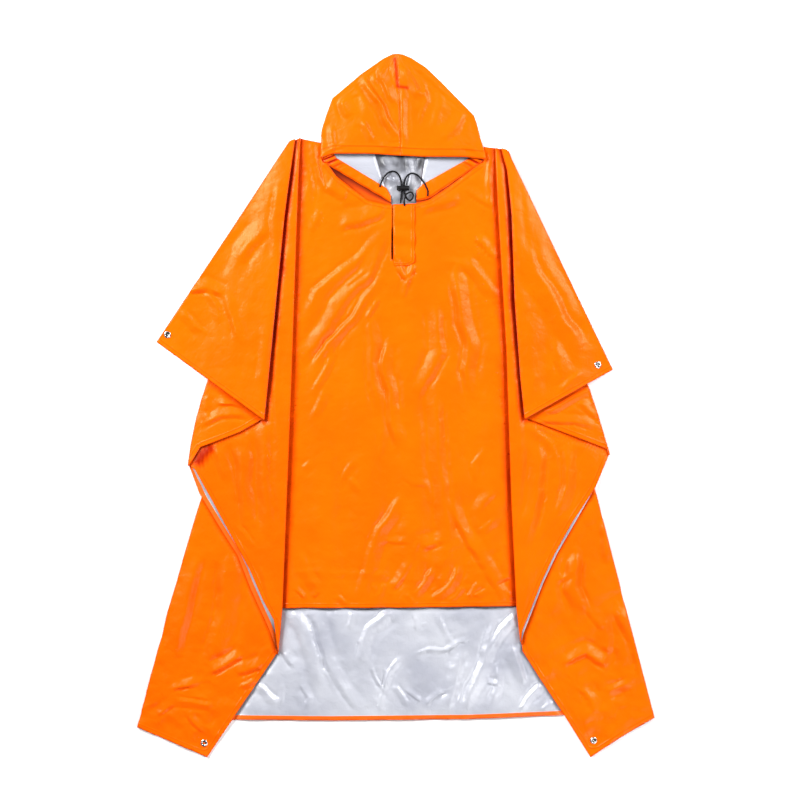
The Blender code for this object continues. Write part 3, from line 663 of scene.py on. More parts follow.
def relief(points, ply):
    """How far the ply stands off the flat layers: puff, creases and crumple, none where it is pressed."""
    x, y = points.T
    lift = fold_lift(points, ply) if ply[-1] in "13" else np.zeros(len(points))
    if ply not in CREASES:
        return lift if ply[-1] == "1" else lift * 0
    ridges = 1 - 2 * np.abs(crumple(points, 62, 9.1))
    small = 1 - 2 * np.abs(crumple(points, 27, 5.3))
    height = PUFF[ply] + creases(points, CREASES[ply]) + 2.2 * crumple(points, 170, 3.7)
    height += unrest(points, ply) * (0.9 * ridges + 0.22 * small)
    if ply == "front_5":
        # Shallow upright flutes, deeper towards the hem.
        flutes = np.sin((x + 26 * crumple(points, 190, 2.7)) / 14)
        height += (1.8 * smooth((300 - y) / 260) + 1.0 * smooth((-80 - y) / 150)) * flutes
    free = np.ones(len(points))
    if COVERED_BY[ply]:
        free = smooth(outside_by(points, COVERED_BY[ply]) / 14)
    for eyelet_x, eyelet_y, holder in EYELETS.values():
        if holder == ply:
            free *= smooth((np.hypot(x - eyelet_x, y - eyelet_y) - EYELET_REACH) / 25)
    if ply in ("back_left_4", "back_right_4"):
        height += (4.2 if ply == "back_right_4" else 2.2) * crumple(points, 80, 8.3)
    if ply[-1] == "3":
        lift = lift * smooth(outside_by(points, COVERED_BY[ply]) / 16)
    height = lift + free * np.maximum(height, -0.4)
    if ply == "front_5":
        # The cloth rises a little along the neck seam.
        near_seam = smooth(1 - distance(points, NECK_SEAM) / 30)
        height = np.maximum(height, 2.6 * (near_seam * smooth(outside_by(points, ["hood_front"]) / 15)))
    return RELIEF_LIMIT * np.tanh(height / RELIEF_LIMIT)


def shade(points, ply):
    """How much painted shade the ply gets, 0 to 1: painted shadow beside folds and seams, under the plies
    over it and below the eyelets.
    """
    x, y = points.T
    side = LEFT if "left" in ply else RIGHT
    uneven = 1 + 0.3 * crumple(points, 60, 1.3)
    contact = 0.0
    if ply in COVERED_BY and COVERED_BY[ply]:
        reach = 14 if ply[-1] == "2" else 7
        contact = 0.55 * (1 - smooth((outside_by(points, COVERED_BY[ply]) * uneven - 1) / reach))
    if ply[-1] == "3":
        depth = np.interp(y, (-60, -20, 150, 330, 480, 545), (0, 0.72, 0.86, 1, 0.9, 0.72))
        own = 0.1 * smooth((60 - y) / 120) if "left" in ply else 0
        corner = 0.95 * np.exp(-(distance(points, WING_CORNER) / 14) ** 4)
        own = np.maximum(own, np.maximum(contact, corner))
        return own + (1 - own) * depth * (1 - smooth((distance(points, side["fold_1"]) * uneven - 5) / 10))
    if ply == "front_5":
        off_left, off_right = (distance(points, strip["fold_3"]) * uneven for strip in (LEFT, RIGHT))
        depth = np.interp(y, (-420, -200, 100, 540), (0.72, 0.66, 0.5, 0.6))
        left = (1 - smooth((off_left - 2) / 17)) * np.interp(y, (-420, 400, 540), (0.95, 0.95, 1.1))
        right = 1.1 * (1 - smooth((off_right - 2) / 18))
        neck = 0.35 * (1 - smooth(distance(points, NECK_SEAM) / 6))
        return depth * np.maximum(left, right) + neck
    if ply == "back_5":
        uneven_throat = 0.42 + 0.5 * crumple(points, 24, 3.1) + 0.3 * smooth((y - 470) / 30)
        throat = smooth((y - 395) / 30) * uneven_throat
        hollow_right = np.exp(-(np.hypot((x - 52) / 9, (y - 497) / 14)) ** 2)
        hollow_left = 0.5 * np.exp(-(np.hypot((x + 34) / 14, (y - 502) / 12)) ** 2)
        below_hem = contact * smooth((-300 - y) / 50)
        return np.clip(np.maximum(throat, np.maximum(hollow_right + hollow_left, below_hem)), 0, 1)
    if ply in ("front_left_1", "front_right_1"):
        return 0.5 * (1 - smooth(distance(points, side["shoulder"]) / 2.6))
    if ply in ("back_left_1", "back_right_1"):
        eyelet = EYELETS["left_wrist" if "left" in ply else "right_wrist"]
        return np.exp(-(np.hypot(x - eyelet[0], y - eyelet[1]) / 12) ** 4)
    return np.maximum(contact, 0.08 if ply == "back_left_4" else 0.0) + np.zeros(len(x))


def reflect(line):
    """The mirror map of the plan across the straight line between the ends of a fold."""
    a, b = np.array(line[0], float), np.array(line[-1], float)
    d = (b - a) / np.hypot(*(b - a))
    turn = 2 * np.outer(d, d) - np.eye(2)
    return turn, a - turn @ a


def ply_order(panel):
    """The plies in the order in which they follow each other across the unfolded panel."""
    left = [f"{panel}_left_{n}" for n in (1, 2, 3, 4)]
    return left + [f"{panel}_5"] + [f"{panel}_right_{n}" for n in (4, 3, 2, 1)]


def split_faces(sheet, faces):
    """Split every edge of these faces in two, and the faces with them."""
    edges = list({e for f in faces for e in f.edges})
    bmesh.ops.subdivide_edges(sheet, edges=edges, cuts=1, use_grid_fill=True)


def refine(sheet, order, passes, shade_weight=1.2, usual_area=25):
    """Split the faces that miss the relief and the shade most, and lay their new points on them."""
    ply_layer, shade_layer = (sheet.verts.layers.float[layer] for layer in ("ply", "shade"))
    for count in passes:
        shown = [f for f in sheet.faces if len({round(v[ply_layer]) for v in f.verts}) == 1
                 and order[round(f.verts[0][ply_layer])] in CREASES and f.verts[0][ply_layer] >= 0]
        miss = np.zeros(len(shown))
        for number, ply in enumerate(order):
            mine = [i for i, f in enumerate(shown) if round(f.verts[0][ply_layer]) == number]
            if mine:
                middles = np.array([shown[i].calc_center_median()[:] for i in mine]) * 1000
                area = np.array([shown[i].calc_area() for i in mine]) * 1e6
                true = level(middles[:, :2], layers_under(ply)) + relief(middles[:, :2], ply)
                drawn = np.array([np.mean([v[shade_layer] for v in shown[i].verts]) for i in mine])
                dark = np.abs(shade(middles[:, :2], ply) - drawn)
                miss[mine] = (np.abs(true - middles[:, 2]) + shade_weight * dark) * np.sqrt(area / usual_area)
        worst = np.argsort(-miss)[:count]
        old = set(sheet.verts)
        split_faces(sheet, [shown[i] for i in worst])
        fresh = [v for v in sheet.verts if v not in old]
        for number, ply in enumerate(order):
            mine = [v for v in fresh if abs(v[ply_layer] - number) < 0.01]
            if mine:
                spots = np.array([v.co[:2] for v in mine]) * 1000
                high = level(spots, layers_under(ply)) + relief(spots, ply)
                for vert, z, dark in zip(mine, high, shade(spots, ply)):
                    vert.co.z = z / 1000
                    vert[shade_layer] = dark
    for face in sheet.faces:
        face.smooth = True


NOT_A_PLY = -9
FAR_FROM_HEM = 99.0
WRAP_REACH = 2.8


def new_net(wide, high, *values):
    """A net of that many points, the column and row of each, and layers for the UV map and these values."""
    sheet = bmesh.new()
    bmesh.ops.create_grid(sheet, x_segments=wide - 1, y_segments=high - 1, size=1)
    uv = sheet.loops.layers.uv.new("UVMap")
    layers = [sheet.verts.layers.float.new(value) for value in values]
    cells = {}
    for vert in sheet.verts:
        cells[vert] = (round((vert.co.x + 1) / 2 * (wide - 1)), round((vert.co.y + 1) / 2 * (high - 1)))
    return sheet, cells, uv, *layers


def lay_panel(panel, columns, rows, passes):
    """The panel as one folded net. Its UV map is the flat cut in metres, 'hem' the distance to its edge."""
    order = ply_order(panel)
    unfold = {f"{panel}_5": (np.eye(2), np.zeros(2))}
    for side in SIDES:
        turn, shift = np.eye(2), np.zeros(2)
        for n in (4, 3, 2, 1):
            over = plies[f"{panel}_{side}_{n}"][1]
            mirror, offset = reflect(over)
            turn, shift = turn @ mirror, turn @ offset + shift
            unfold[f"{panel}_{side}_{n}"] = (turn, shift)
    blocks = []
    for ply in order:
        edge_a, edge_b, foot, *head = plies[ply]
        number = ply[-1]
        if "right" in ply:
            edge_a, edge_b, foot = edge_b, edge_a, foot[::-1]
        head = head[0] if head else [edge_a[-1], edge_b[-1]]
        parts = columns[number]
        if "right" in ply:
            parts = 1 - parts[::-1]
        plan = net(edge_a, edge_b, foot, head, parts, rows)
        flat = plan.reshape(-1, 2)
        high = level(flat, layers_under(ply)) + relief(flat, ply)
        turn, shift = unfold[ply]
        hem_lines = [] if ply == "back_right_3" else [foot]
        if ply == "front_5":
            hem_lines.append(NECK)
        edge = np.full(len(flat), FAR_FROM_HEM)
        for line in hem_lines:
            edge = np.minimum(edge, distance(flat, line))
        blocks.append((plan, high.reshape(plan.shape[:2]), (flat @ turn.T + shift).reshape(plan.shape),
                       edge.reshape(plan.shape[:2]), shade(flat, ply).reshape(plan.shape[:2])))
    # Rounded wraps join the plies along their folds, with some painted shade as a darker line along each
    # fold.
    place, cut, edge, dim, owner = [], [], [], [], []
    for i, (plan, high, flat, hem, groove) in enumerate(blocks):
        place.append(np.dstack([plan, high]))
        cut.append(flat)
        edge.append(hem)
        dim.append(groove)
        owner += [i] * plan.shape[1] + [NOT_A_PLY] * 3
        if i + 1 == len(blocks):
            break
        a, b = plan[:, -1], blocks[i + 1][0][:, 0]
        top, low = high[:, -1], blocks[i + 1][1][:, 0]
        run = np.gradient(a, axis=0)
        out = np.stack([run[:, 1], -run[:, 0]], axis=1) / np.hypot(*run.T)[:, None]
        out *= np.sign(((a - plan[:, -2]) * out).sum(axis=1))[:, None]
        half = (top - low) / 2
        reach = np.minimum(np.abs(half), WRAP_REACH)
        for turn in (50, 0, -50):
            t = math.radians(turn)
            spots = (a + b) / 2 + (a - b) / 2 * math.sin(t) + out * (reach * math.cos(t))[:, None]
            heights = (top + low) / 2 + half * math.sin(t)
            place.append(np.concatenate([spots, heights[:, None]], axis=1)[:, None])
            cut.append(flat[:, -1:])
            edge.append(hem[:, -1:])
            dim.append(np.full((len(groove), 1), 0.4))
    place, cut, edge, dim = (np.concatenate(x, axis=1) for x in (place, cut, edge, dim))
    high, wide = edge.shape
    sheet, cells, uv, hem_layer, ply_layer, shade_layer = new_net(wide, high, "hem", "ply", "shade")
    for vert, (column, row) in cells.items():
        vert[hem_layer] = edge[row, column]
        vert[ply_layer] = owner[column]
        vert[shade_layer] = dim[row, column]
        vert.co = place[row, column] / 1000
    for face in sheet.faces:
        for loop in face.loops:
            column, row = cells[loop.vert]
            loop[uv].uv = cut[row, column] / 1000
    refine(sheet, order, passes)
    return sheet


HOLE_RADIUS = 4.4


def punch(sheet, name):
    """A round hole for an eyelet, through the one ply that holds it."""
    x, y, ply = EYELETS[name]
    number = ply_order(ply.split("_")[0]).index(ply)
    ply_layer = sheet.verts.layers.float["ply"]

    def around(reach):
        """The ply's faces round the eyelet."""
        own = [f for f in sheet.faces if all(abs(v[ply_layer] - number) < 0.01 for v in f.verts)]
        middles = [(f, f.calc_center_median() * 1000) for f in own]
        return [f for f, m in middles if math.hypot(m.x - x, m.y - y) < reach]

    for reach in (17, 10, 7):
        split_faces(sheet, around(reach))
    bmesh.ops.delete(sheet, geom=around(HOLE_RADIUS), context="FACES")


def finish_cloth(sheet, name, node, materials):
    """Make the sheet, laid out in metres, a piece of cloth with a wall. Its outer material comes first."""
    # Both sides of the wall are split alike, so that they don't cross at a sharp crease.
    bmesh.ops.triangulate(sheet, faces=sheet.faces)
    mesh = bpy.data.meshes.new(name)
    sheet.to_mesh(mesh)
    sheet.free()
    for material in materials:
        mesh.materials.append(material)
    made = new_object(name, mesh)
    shell = made.modifiers.new("thickness", "SOLIDIFY")
    shell.thickness = WALL / 1000
    shell.offset = 0
    shell.material_offset = 1
    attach(made, "root")
    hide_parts(node)
    return made


def ramp(material, value, start, end, low, high):
    """A value that goes from low to high while the given one goes from start to end."""
    return wire(material, "ShaderNodeMapRange", [("Value", value)],
                From_Min=start, From_Max=end, To_Min=low, To_Max=high).outputs["Result"]


def tinted(material, share, base, colour):
    """The base with this share of the colour over it."""
    mix = wire(material, "ShaderNodeMix", [(0, share), (6, base)], data_type="RGBA")
    mix.inputs[7].default_value = (*colour, 1)
    return mix.outputs[2]


HEM_STITCHES = 8.0
STITCH_WIDTH = 0.8
HEM_DEPTH = 9.0


def coated_cloth(name, colour, cloudy, painted_shade_colour, stitch, roughness, **sockets):
    """Coated taffeta: a little uneven in colour, finely crumpled, with a raised and stitched hem.

    The mesh's 'hem' is the distance to the cloth's edge in mm, and its 'shade' darkens the colour as painted
    shade."""
    cloth = new_material(name, colour, roughness, **sockets)
    flat = wire(cloth, "ShaderNodeUVMap", uv_map="UVMap").outputs["UV"]
    hem = wire(cloth, "ShaderNodeAttribute", attribute_name="hem").outputs["Fac"]
    groove = wire(cloth, "ShaderNodeAttribute", attribute_name="shade").outputs["Fac"]
    cloud = wire(cloth, "ShaderNodeTexNoise", [("Vector", flat)], Scale=9, Detail=3)
    tint = wire(cloth, "ShaderNodeValToRGB", [("Fac", cloud.outputs["Fac"])])
    for stop, position, stop_colour in zip(tint.color_ramp.elements, (0.35, 0.7), (cloudy, colour)):
        stop.position = position
        stop.color = (*stop_colour, 1)
    # Painted shade: the colour also darkens within about 2 mm of a cut edge, where the cloth turns away from
    # the light.
    edge = ramp(cloth, hem, 0.3, 2.2, 0.5, 0)
    painted_shade_tone = tinted(cloth, combine(cloth, "MAXIMUM", groove, edge), tint.outputs["Color"], painted_shade_colour)
    stitch_start = ramp(cloth, hem, HEM_STITCHES - STITCH_WIDTH, HEM_STITCHES, 0, 1)
    stitch_end = ramp(cloth, hem, HEM_STITCHES, HEM_STITCHES + STITCH_WIDTH, 1, 0)
    thread = combine(cloth, "MULTIPLY", stitch_start, stitch_end)
    feed(cloth, "Base Color", tinted(cloth, thread, painted_shade_tone, stitch))
    # Two sizes of fine crumple and the hem's own thickness raise the surface.
    facets = wire(cloth, "ShaderNodeTexVoronoi", [("Vector", flat)],
                  feature="SMOOTH_F1", Scale=46, Smoothness=0.6)
    fine = wire(cloth, "ShaderNodeTexNoise", [("Vector", flat)], Scale=75, Detail=4, Distortion=0.6)
    crumpled = combine(cloth, "ADD", facets.outputs["Distance"], fine.outputs["Fac"])
    turned_in = ramp(cloth, hem, HEM_DEPTH, HEM_DEPTH + 1.5, 0.5, 0)
    roughen(cloth, combine(cloth, "ADD", crumpled, turned_in), 0.7, 0.0014)
    return cloth


orange_outside = coated_cloth("orange_outside", colour=(1.0, 0.128, 0.0), cloudy=(0.96, 0.11, 0.0),
                              painted_shade_colour=(0.3, 0.003, 0.0), stitch=(0.7, 0.06, 0.0), roughness=0.31,
                              Specular_IOR_Level=0.19, Specular_Tint=(1.0, 0.78, 0.45, 1))
# The silver coating is bare inside the front, and on the back it has the turned hem on it as an orange band.
silver_inside, silver_turned = (
    coated_cloth(name, colour=(0.54, 0.55, 0.6), cloudy=(0.37, 0.38, 0.44), painted_shade_colour=(0.03, 0.03, 0.035),
                 stitch=(0.22, 0.22, 0.26), roughness=0.38, Specular_IOR_Level=0.7, Metallic=0.1)
    for name in ("silver_inside", "silver_turned"))
hem_distance = wire(silver_turned, "ShaderNodeAttribute", attribute_name="hem").outputs["Fac"]
turned_band = ramp(silver_turned, hem_distance, 8.8, 9.4, 1, 0)
silver_colour = silver_turned.node_tree.nodes["Principled BSDF"].inputs["Base Color"].links[0].from_socket
feed(silver_turned, "Base Color", tinted(silver_turned, turned_band, silver_colour, (1.0, 0.125, 0.0)))

# Where the columns and rows of the net lie, as parts of each ply's width and length.
front_columns = {
    "1": np.concatenate([[0, 0.013], np.linspace(0.06, 1, 17)]),
    "2": np.linspace(0, 1, 6),
    "3": np.linspace(0, 1, 15),
    "4": np.linspace(0, 1, 3),
    "5": np.concatenate([[0, 0.03, 0.07, 0.12, 0.17], 0.21 + 0.58 * np.linspace(0, 1, 68),
                         [0.83, 0.87, 0.91, 0.95, 1]]),
}
front_rows = np.concatenate([np.linspace(0, 0.05, 11)[:-1], np.linspace(0.05, 1, 122)])
front = lay_panel("front", front_columns, front_rows, (3500, 2300))

# The chest slit opens from the neck down, behind the placket. These sizes are in metres, as the sheet's are.
SLIT_X = -0.0072
SLIT_FOOT = 0.291
SLIT_REACH = 0.015
ply_layer = front.verts.layers.float["ply"]
middle_ply = ply_order("front").index("front_5")
nearby = [f for f in front.faces if all(abs(v[ply_layer] - middle_ply) < 0.01 for v in f.verts)
          and abs(f.calc_center_median().x * 1000 + 7) < 20 and 280 < f.calc_center_median().y * 1000 < 420]
parts = list({g for f in nearby for g in (*f.verts, *f.edges)}) + nearby
cut_line = bmesh.ops.bisect_plane(front, geom=parts, plane_co=(SLIT_X, 0, 0), plane_no=(1, 0, 0))["geom_cut"]
slit = [e for e in cut_line if isinstance(e, bmesh.types.BMEdge) and min(v.co.y for v in e.verts) > SLIT_FOOT]
bmesh.ops.split_edges(front, edges=slit)
on_slit = {v for v in front.verts if abs(v.co.x - SLIT_X) < 1e-6}
moves = []
for vert in on_slit | {v for f in nearby if f.is_valid for v in f.verts}:
    off, up = vert.co.x - SLIT_X, vert.co.y - SLIT_FOOT
    if abs(off) < SLIT_REACH and up > 0 and vert.link_faces and abs(vert[ply_layer] - middle_ply) < 0.5:
        middle = sum(f.calc_center_median().x for f in vert.link_faces) / len(vert.link_faces)
        gap = (1.0 + 0.9 * smooth((0.372 - vert.co.y) / 0.02)) * min(1, up / 0.012)
        moves.append((vert, (-1 if middle < SLIT_X else 1) * gap * (1 - abs(off) / SLIT_REACH) / 1000))
# No point moves before all moves are known, so that their order doesn't matter.
for vert, shift in moves:
    vert.co.x += shift
for name in ("left_wrist", "right_wrist"):
    punch(front, name)
finish_cloth(front, "front_panel_cloth", "front_panel", [orange_outside, silver_inside])

# ---------------------------------------------------------------- back panel
# The back half of the sheet, about 23 cm longer than the front and of the same cloth. Its silver inside shows
# below the front's hem, with the hem turned up on it as an orange band, and its corners are folded up.
back_columns = {
    "1": np.linspace(0, 1, 7),
    "2": np.linspace(0, 1, 15),
    "3": np.linspace(0, 1, 11),
    "4": np.linspace(0, 1, 33),
    "5": np.concatenate([[0, 0.05, 0.1], np.linspace(0.14, 0.86, 82), [0.9, 0.95, 1]]),
}
back_rows = np.concatenate([np.linspace(0, 0.02, 6)[:-1], np.linspace(0.02, 0.2, 32)[:-1],
                            np.linspace(0.2, 0.53, 44)[:-1], np.linspace(0.53, 0.89, 15)[:-1],
                            np.linspace(0.89, 1, 20)])
back = lay_panel("back", back_columns, back_rows, (2900, 2200))
for name in ("left_corner", "right_corner"):
    punch(back, name)
finish_cloth(back, "back_panel_cloth", "back_panel", [silver_turned, orange_outside])

# ---------------------------------------------------------------- hood, two halves
# Each half is one piece folded at the hood's side, front layer over rear layer, and the halves are sewn
# together along the middle seam. The hood is coated orange outside and silver inside, as the panels are.
HOOD_LOFT, HOOD_LOFT_REACH = 7.0, 70
HOOD_DART = [(-3, 714), (1, 684), (3.5, 652), (24, 649)]
HOOD_CREASES = [
    ([(-66, 672), (-49, 641), (-21, 597), (3, 547)], 11, 3.0),
    ([(-52, 655), (-30, 608), (-12, 560)], 8, 2.0),
    ([(-33, 697), (-21, 653), (-5, 615)], 12, 2.6),
    ([(-46, 659), (-27, 684)], 14, 1.0),
    ([(-61, 653), (-36, 612)], 6, 1.8),
    ([(-112, 628), (-99, 590)], 16, 2.6),
    ([(-68, 578), (-49, 540)], 9, 2.0),
    ([(64, 662), (72, 622), (58, 572)], 12, -1.6),
    ([(95, 547), (126, 569), (139, 600)], 16, 1.3),
    ([(14, 691), (45, 644), (64, 634)], 11, 2.2),
    ([(11, 644), (14, 590), (12, 528)], 9, 1.6),
    ([(32, 706), (76, 662), (133, 612)], 12, 1.8),
    ([(-133, 572), (-127, 534), (-129, 515)], 8, 1.6),
    ([(-149, 509), (-133, 522), (-105, 528)], 6, 1.4),
    ([(180, 506), (158, 528), (133, 531)], 6, 1.4),
    ([(-36, 543), (-18, 531), (11, 531)], 9, 1.6),
]


def hood_level(points, front):
    """Height of the hood's front layer, which is puffed, or of its rear layer, which is pressed flat."""
    layers = LAYERS[:2] + [["tunnel_left", "tunnel_right"]] if front else LAYERS[:1]
    height = level(points, layers)
    if front:
        edge = np.minimum(distance(points, HOOD_LEFT), distance(points, HOOD_RIGHT))
        height += HOOD_LOFT * smooth(edge / HOOD_LOFT_REACH)
        folds = 1.45 * creases(points, HOOD_CREASES, 2.0) + 0.8 * crumple(points, 60, 6.2)
        height += smooth(edge / 20) * np.maximum(0.9 + folds, -0.6)
    else:
        height += 0.2 + 0.45 * crumple(points, 26, 1.7)
    return height


def mixed(first, second, share):
    """Points between two rows of points; a share of 0 gives the first row."""
    return (1 - share) * first + share * second


# The rows run from the hood's rim up to its tip. Below the seam row the two layers aren't joined at the side.
hood_rows = np.concatenate([np.linspace(0, 0.16, 14)[:-1], np.linspace(0.16, 1, 60)])
SEAM_ROW = 13
SEAM_GAP = 0.05
FRONT_RIM = {"left": [(-154, 505), (-129, 514), (-46, 513.5)],
             "right": [(184, 505), (181.5, 502.5), (144, 507), (60, 507.5)]}
for side in SIDES:
    is_left = side == "left"
    fold = HOOD_LEFT if is_left else HOOD_RIGHT
    seam = [(x - SEAM_GAP if is_left else x + SEAM_GAP, y) for x, y in HOOD_SEAM[::-1]]
    rim = [*FRONT_RIM[side], seam[0]]
    rear_rim = HOOD_REAR_LEFT[6::-1] if is_left else HOOD_REAR_RIGHT[5::-1]
    inner = HOOD_REAR_LEFT[7:11] if is_left else HOOD_REAR_RIGHT[6:9]
    below = hood_rows[:SEAM_ROW] / hood_rows[SEAM_ROW]
    above = (hood_rows[SEAM_ROW:] - hood_rows[SEAM_ROW]) / (1 - hood_rows[SEAM_ROW])
    front_fold = np.concatenate([along([rim[0], fold[0]], below), along(fold, above)])
    rear_fold = np.concatenate([along([*rear_rim, fold[0]], below), along(fold, above)])
    rear_seam = np.concatenate([along(inner, below), along([inner[-1]] + seam[1:], above)])
    front_seam = along(seam, hood_rows)
    wide = np.linspace(0, 1, 41)
    narrow = np.linspace(0, 1, 13)
    low_edge = along(rim, wide)
    straight = mixed(low_edge[0], low_edge[-1], wide[:, None])
    front_net = mixed(front_fold[:, None], front_seam[:, None], wide[None, :, None])
    front_net += (1 - smooth(hood_rows[:, None, None] / 0.3)) * (low_edge - straight)[None]
    rear_net = mixed(rear_seam[:, None], rear_fold[:, None], narrow[None, :, None])
    rear, front_half = (np.dstack([plan, hood_level(plan.reshape(-1, 2), is_front).reshape(plan.shape[:2])])
                        for plan, is_front in ((rear_net, False), (front_net, True)))
    # A rounded wrap joins the two layers along the hood's side.
    wrap = []
    top, low = front_half[:, 0], rear[:, -1]
    run = np.gradient(front_fold, axis=0)
    out = np.stack([-run[:, 1], run[:, 0]], axis=1) / np.hypot(*run.T)[:, None]
    if not is_left:
        out = -out
    middle, half = (top + low)[:, 2] / 2, (top - low)[:, 2] / 2
    for turn in (-55, -20, 20, 55):
        t = math.radians(turn)
        spots = front_fold + out * (np.minimum(half, 2.4) * math.cos(t))[:, None]
        wrap.append(np.concatenate([spots, (middle + half * math.sin(t))[:, None]], axis=1)[:, None])
    place = np.concatenate([rear, *wrap, front_half], axis=1)
    if not is_left:
        place = place[:, ::-1]
    high, across = place.shape[:2]
    half_hood, cells, uv, hem_layer, shade_layer = new_net(across, high, "hem", "shade")
    first_wrap = len(narrow) - 1 if is_left else across - len(narrow) - len(wrap)
    for vert, (column, row) in cells.items():
        vert.co = place[row, column] / 1000
        spots = np.array([[vert.co.x * 1000, vert.co.y * 1000]])
        in_front = vert.co.z > 0.0025
        vert[hem_layer] = distance(spots, rim)[0] / 2 if in_front else FAR_FROM_HEM
        # Painted shade along the dart's crease near the hood's tip.
        vert[shade_layer] = 0.85 * math.exp(-(distance(spots, HOOD_DART)[0] / 3.6) ** 2) if in_front else 0
    drop = []
    for face in half_hood.faces:
        face.smooth = True
        first_column, first_row = (min(cells[v][k] for v in face.verts) for k in (0, 1))
        if first_row < SEAM_ROW and first_wrap <= first_column <= first_wrap + len(wrap):
            drop.append(face)
        for loop in face.loops:
            loop[uv].uv = (cells[loop.vert][0] * (0.004 if is_left else -0.004), loop.vert.co.y)
    bmesh.ops.delete(half_hood, geom=drop, context="FACES")
    finish_cloth(half_hood, f"hood_{side}_cloth", f"hood_{side}", [orange_outside, silver_inside])

# ---------------------------------------------------------------- drawcord tunnels
# A folded orange band round the face opening holds the drawcord. It is of the same cloth, gathered where it
# enters the hood, and its lower edge is stitched to the body.
# The seam allowance is painted shade: its colour goes from orange to near black as the 'shade' value rises.
seam_shade = new_material("seam_allowance_painted_shade", (0.3, 0.01, 0.0), 0.6, Specular_IOR_Level=0.1)
dim = wire(seam_shade, "ShaderNodeAttribute", attribute_name="shade")
depth = wire(seam_shade, "ShaderNodeValToRGB", [("Fac", dim.outputs["Fac"])])
depth.color_ramp.elements[0].color = (0.9, 0.13, 0.0, 1)
depth.color_ramp.elements[1].color = (0.06, 0.003, 0.001, 1)
depth.color_ramp.elements.new(0.5).color = (0.45, 0.04, 0.0, 1)
feed(seam_shade, "Base Color", depth.outputs["Color"])
TUNNEL_LENGTH = 0.16
TUNNEL_WIDTH = 0.024
ALLOWANCE_STEPS = 40


def doubled_cloth(sheet, name, node):
    """A band or flap that is orange on both sides, with the seam allowance and its painted shade as its third
    material.
    """
    made = finish_cloth(sheet, name, node, [orange_outside, orange_outside, seam_shade])
    made.modifiers["thickness"].material_offset = 0


for side in SIDES:
    if side == "left":
        ring = TUNNEL_LEFT
        inner = [(-127, 517), *ring[1:4]]
        outer = [(-153, 507), ring[0], ring[5], ring[4]]
        neck = NECK[1:7]
    else:
        ring = TUNNEL_RIGHT
        inner = [(157, 517), *ring[1:4]]
        outer = [(182, 507), ring[0], ring[6], ring[5], ring[4]]
        neck = NECK[10:6:-1]
    across = np.linspace(0, 1, 13)
    length = np.linspace(0, 1, 90)
    plan = net([outer[0], inner[0]], [outer[-1], inner[-1]], outer, inner, length, across)
    flat = plan.reshape(-1, 2)
    high = level(flat, LAYERS[:2]).reshape(plan.shape[:2])
    # Close gathers at the outer end, where the band enters the hood, and wider ones towards the throat.
    puff = np.sin(np.pi * across)[:, None] ** 0.6
    gathers = np.sin(length * 96 + 1.3 * np.sin(length * 23))[None] * smooth(1.1 - length[None] / 0.34)
    gathers = gathers + 0.35 * np.sin(length * 47 + 1)[None] * smooth(length[None] / 0.3)
    high = high + 0.3 + puff * (2.1 + 1.3 * gathers)
    # Painted shade in the valleys of the gathers and along the band's outer edge, next to the body.
    painted_furrow_shade = np.clip(0.5 - 1.3 * gathers, 0, 1) * smooth(1.3 - length[None] / 0.24) * (0.75 + 0.25 * puff)
    border = np.exp(-(across / 0.13) ** 2)[:, None] * np.interp(length, (0, 0.5, 1), (0.9, 0.55, 0.9))[None]
    painted_furrow_shade = np.maximum(painted_furrow_shade, border * (0.85 + 0.3 * np.sin(length * 31))[None])
    band, cells, uv, hem_layer, shade_layer = new_net(len(length), len(across), "hem", "shade")
    for vert, (column, row) in cells.items():
        vert[hem_layer] = across[row] * 24 + 4.5
        vert[shade_layer] = painted_furrow_shade[row, column]
        vert.co = Vector((*plan[row, column], high[row, column])) / 1000
    for face in band.faces:
        face.smooth = True
        for loop in face.loops:
            column, row = cells[loop.vert]
            loop[uv].uv = (length[column] * TUNNEL_LENGTH, across[row] * TUNNEL_WIDTH)
    if side == "right":
        bmesh.ops.reverse_faces(band, faces=band.faces)
    # The seam allowance fills the groove between the tunnel and the body, and runs in under the neck edge.
    # Its painted shade is darkest by the tunnel and at the outer end, and lighter towards the body and the
    # throat.
    upper = along(outer, np.linspace(0, 1, ALLOWANCE_STEPS + 1))
    lower = along([(x, y - 4) for x, y in neck], np.linspace(0, 1, ALLOWANCE_STEPS + 1))
    rows = []
    for t, z, down in ((-0.04, 3.5, 0), (0.5, 3.6, 0.5), (1, 3.7, 1)):
        row = [band.verts.new((x / 1000, y / 1000, z / 1000)) for x, y in upper * (1 - t) + lower * t]
        for i, vert in enumerate(row):
            lit = smooth(0.15 + 1.1 * down) * smooth((i / ALLOWANCE_STEPS - 0.1) / 0.6)
            vert[shade_layer] = 1 - 0.85 * lit
        rows.append(row)
    for row, following in zip(rows, rows[1:]):
        for i in range(ALLOWANCE_STEPS):
            face = band.faces.new((row[i], following[i], following[i + 1], row[i + 1]))
            face.smooth = True
            face.material_index = 2
            if face.normal.z < 0:
                face.normal_flip()
    doubled_cloth(band, f"hood_tunnel_{side}_band", f"hood_tunnel_{side}")

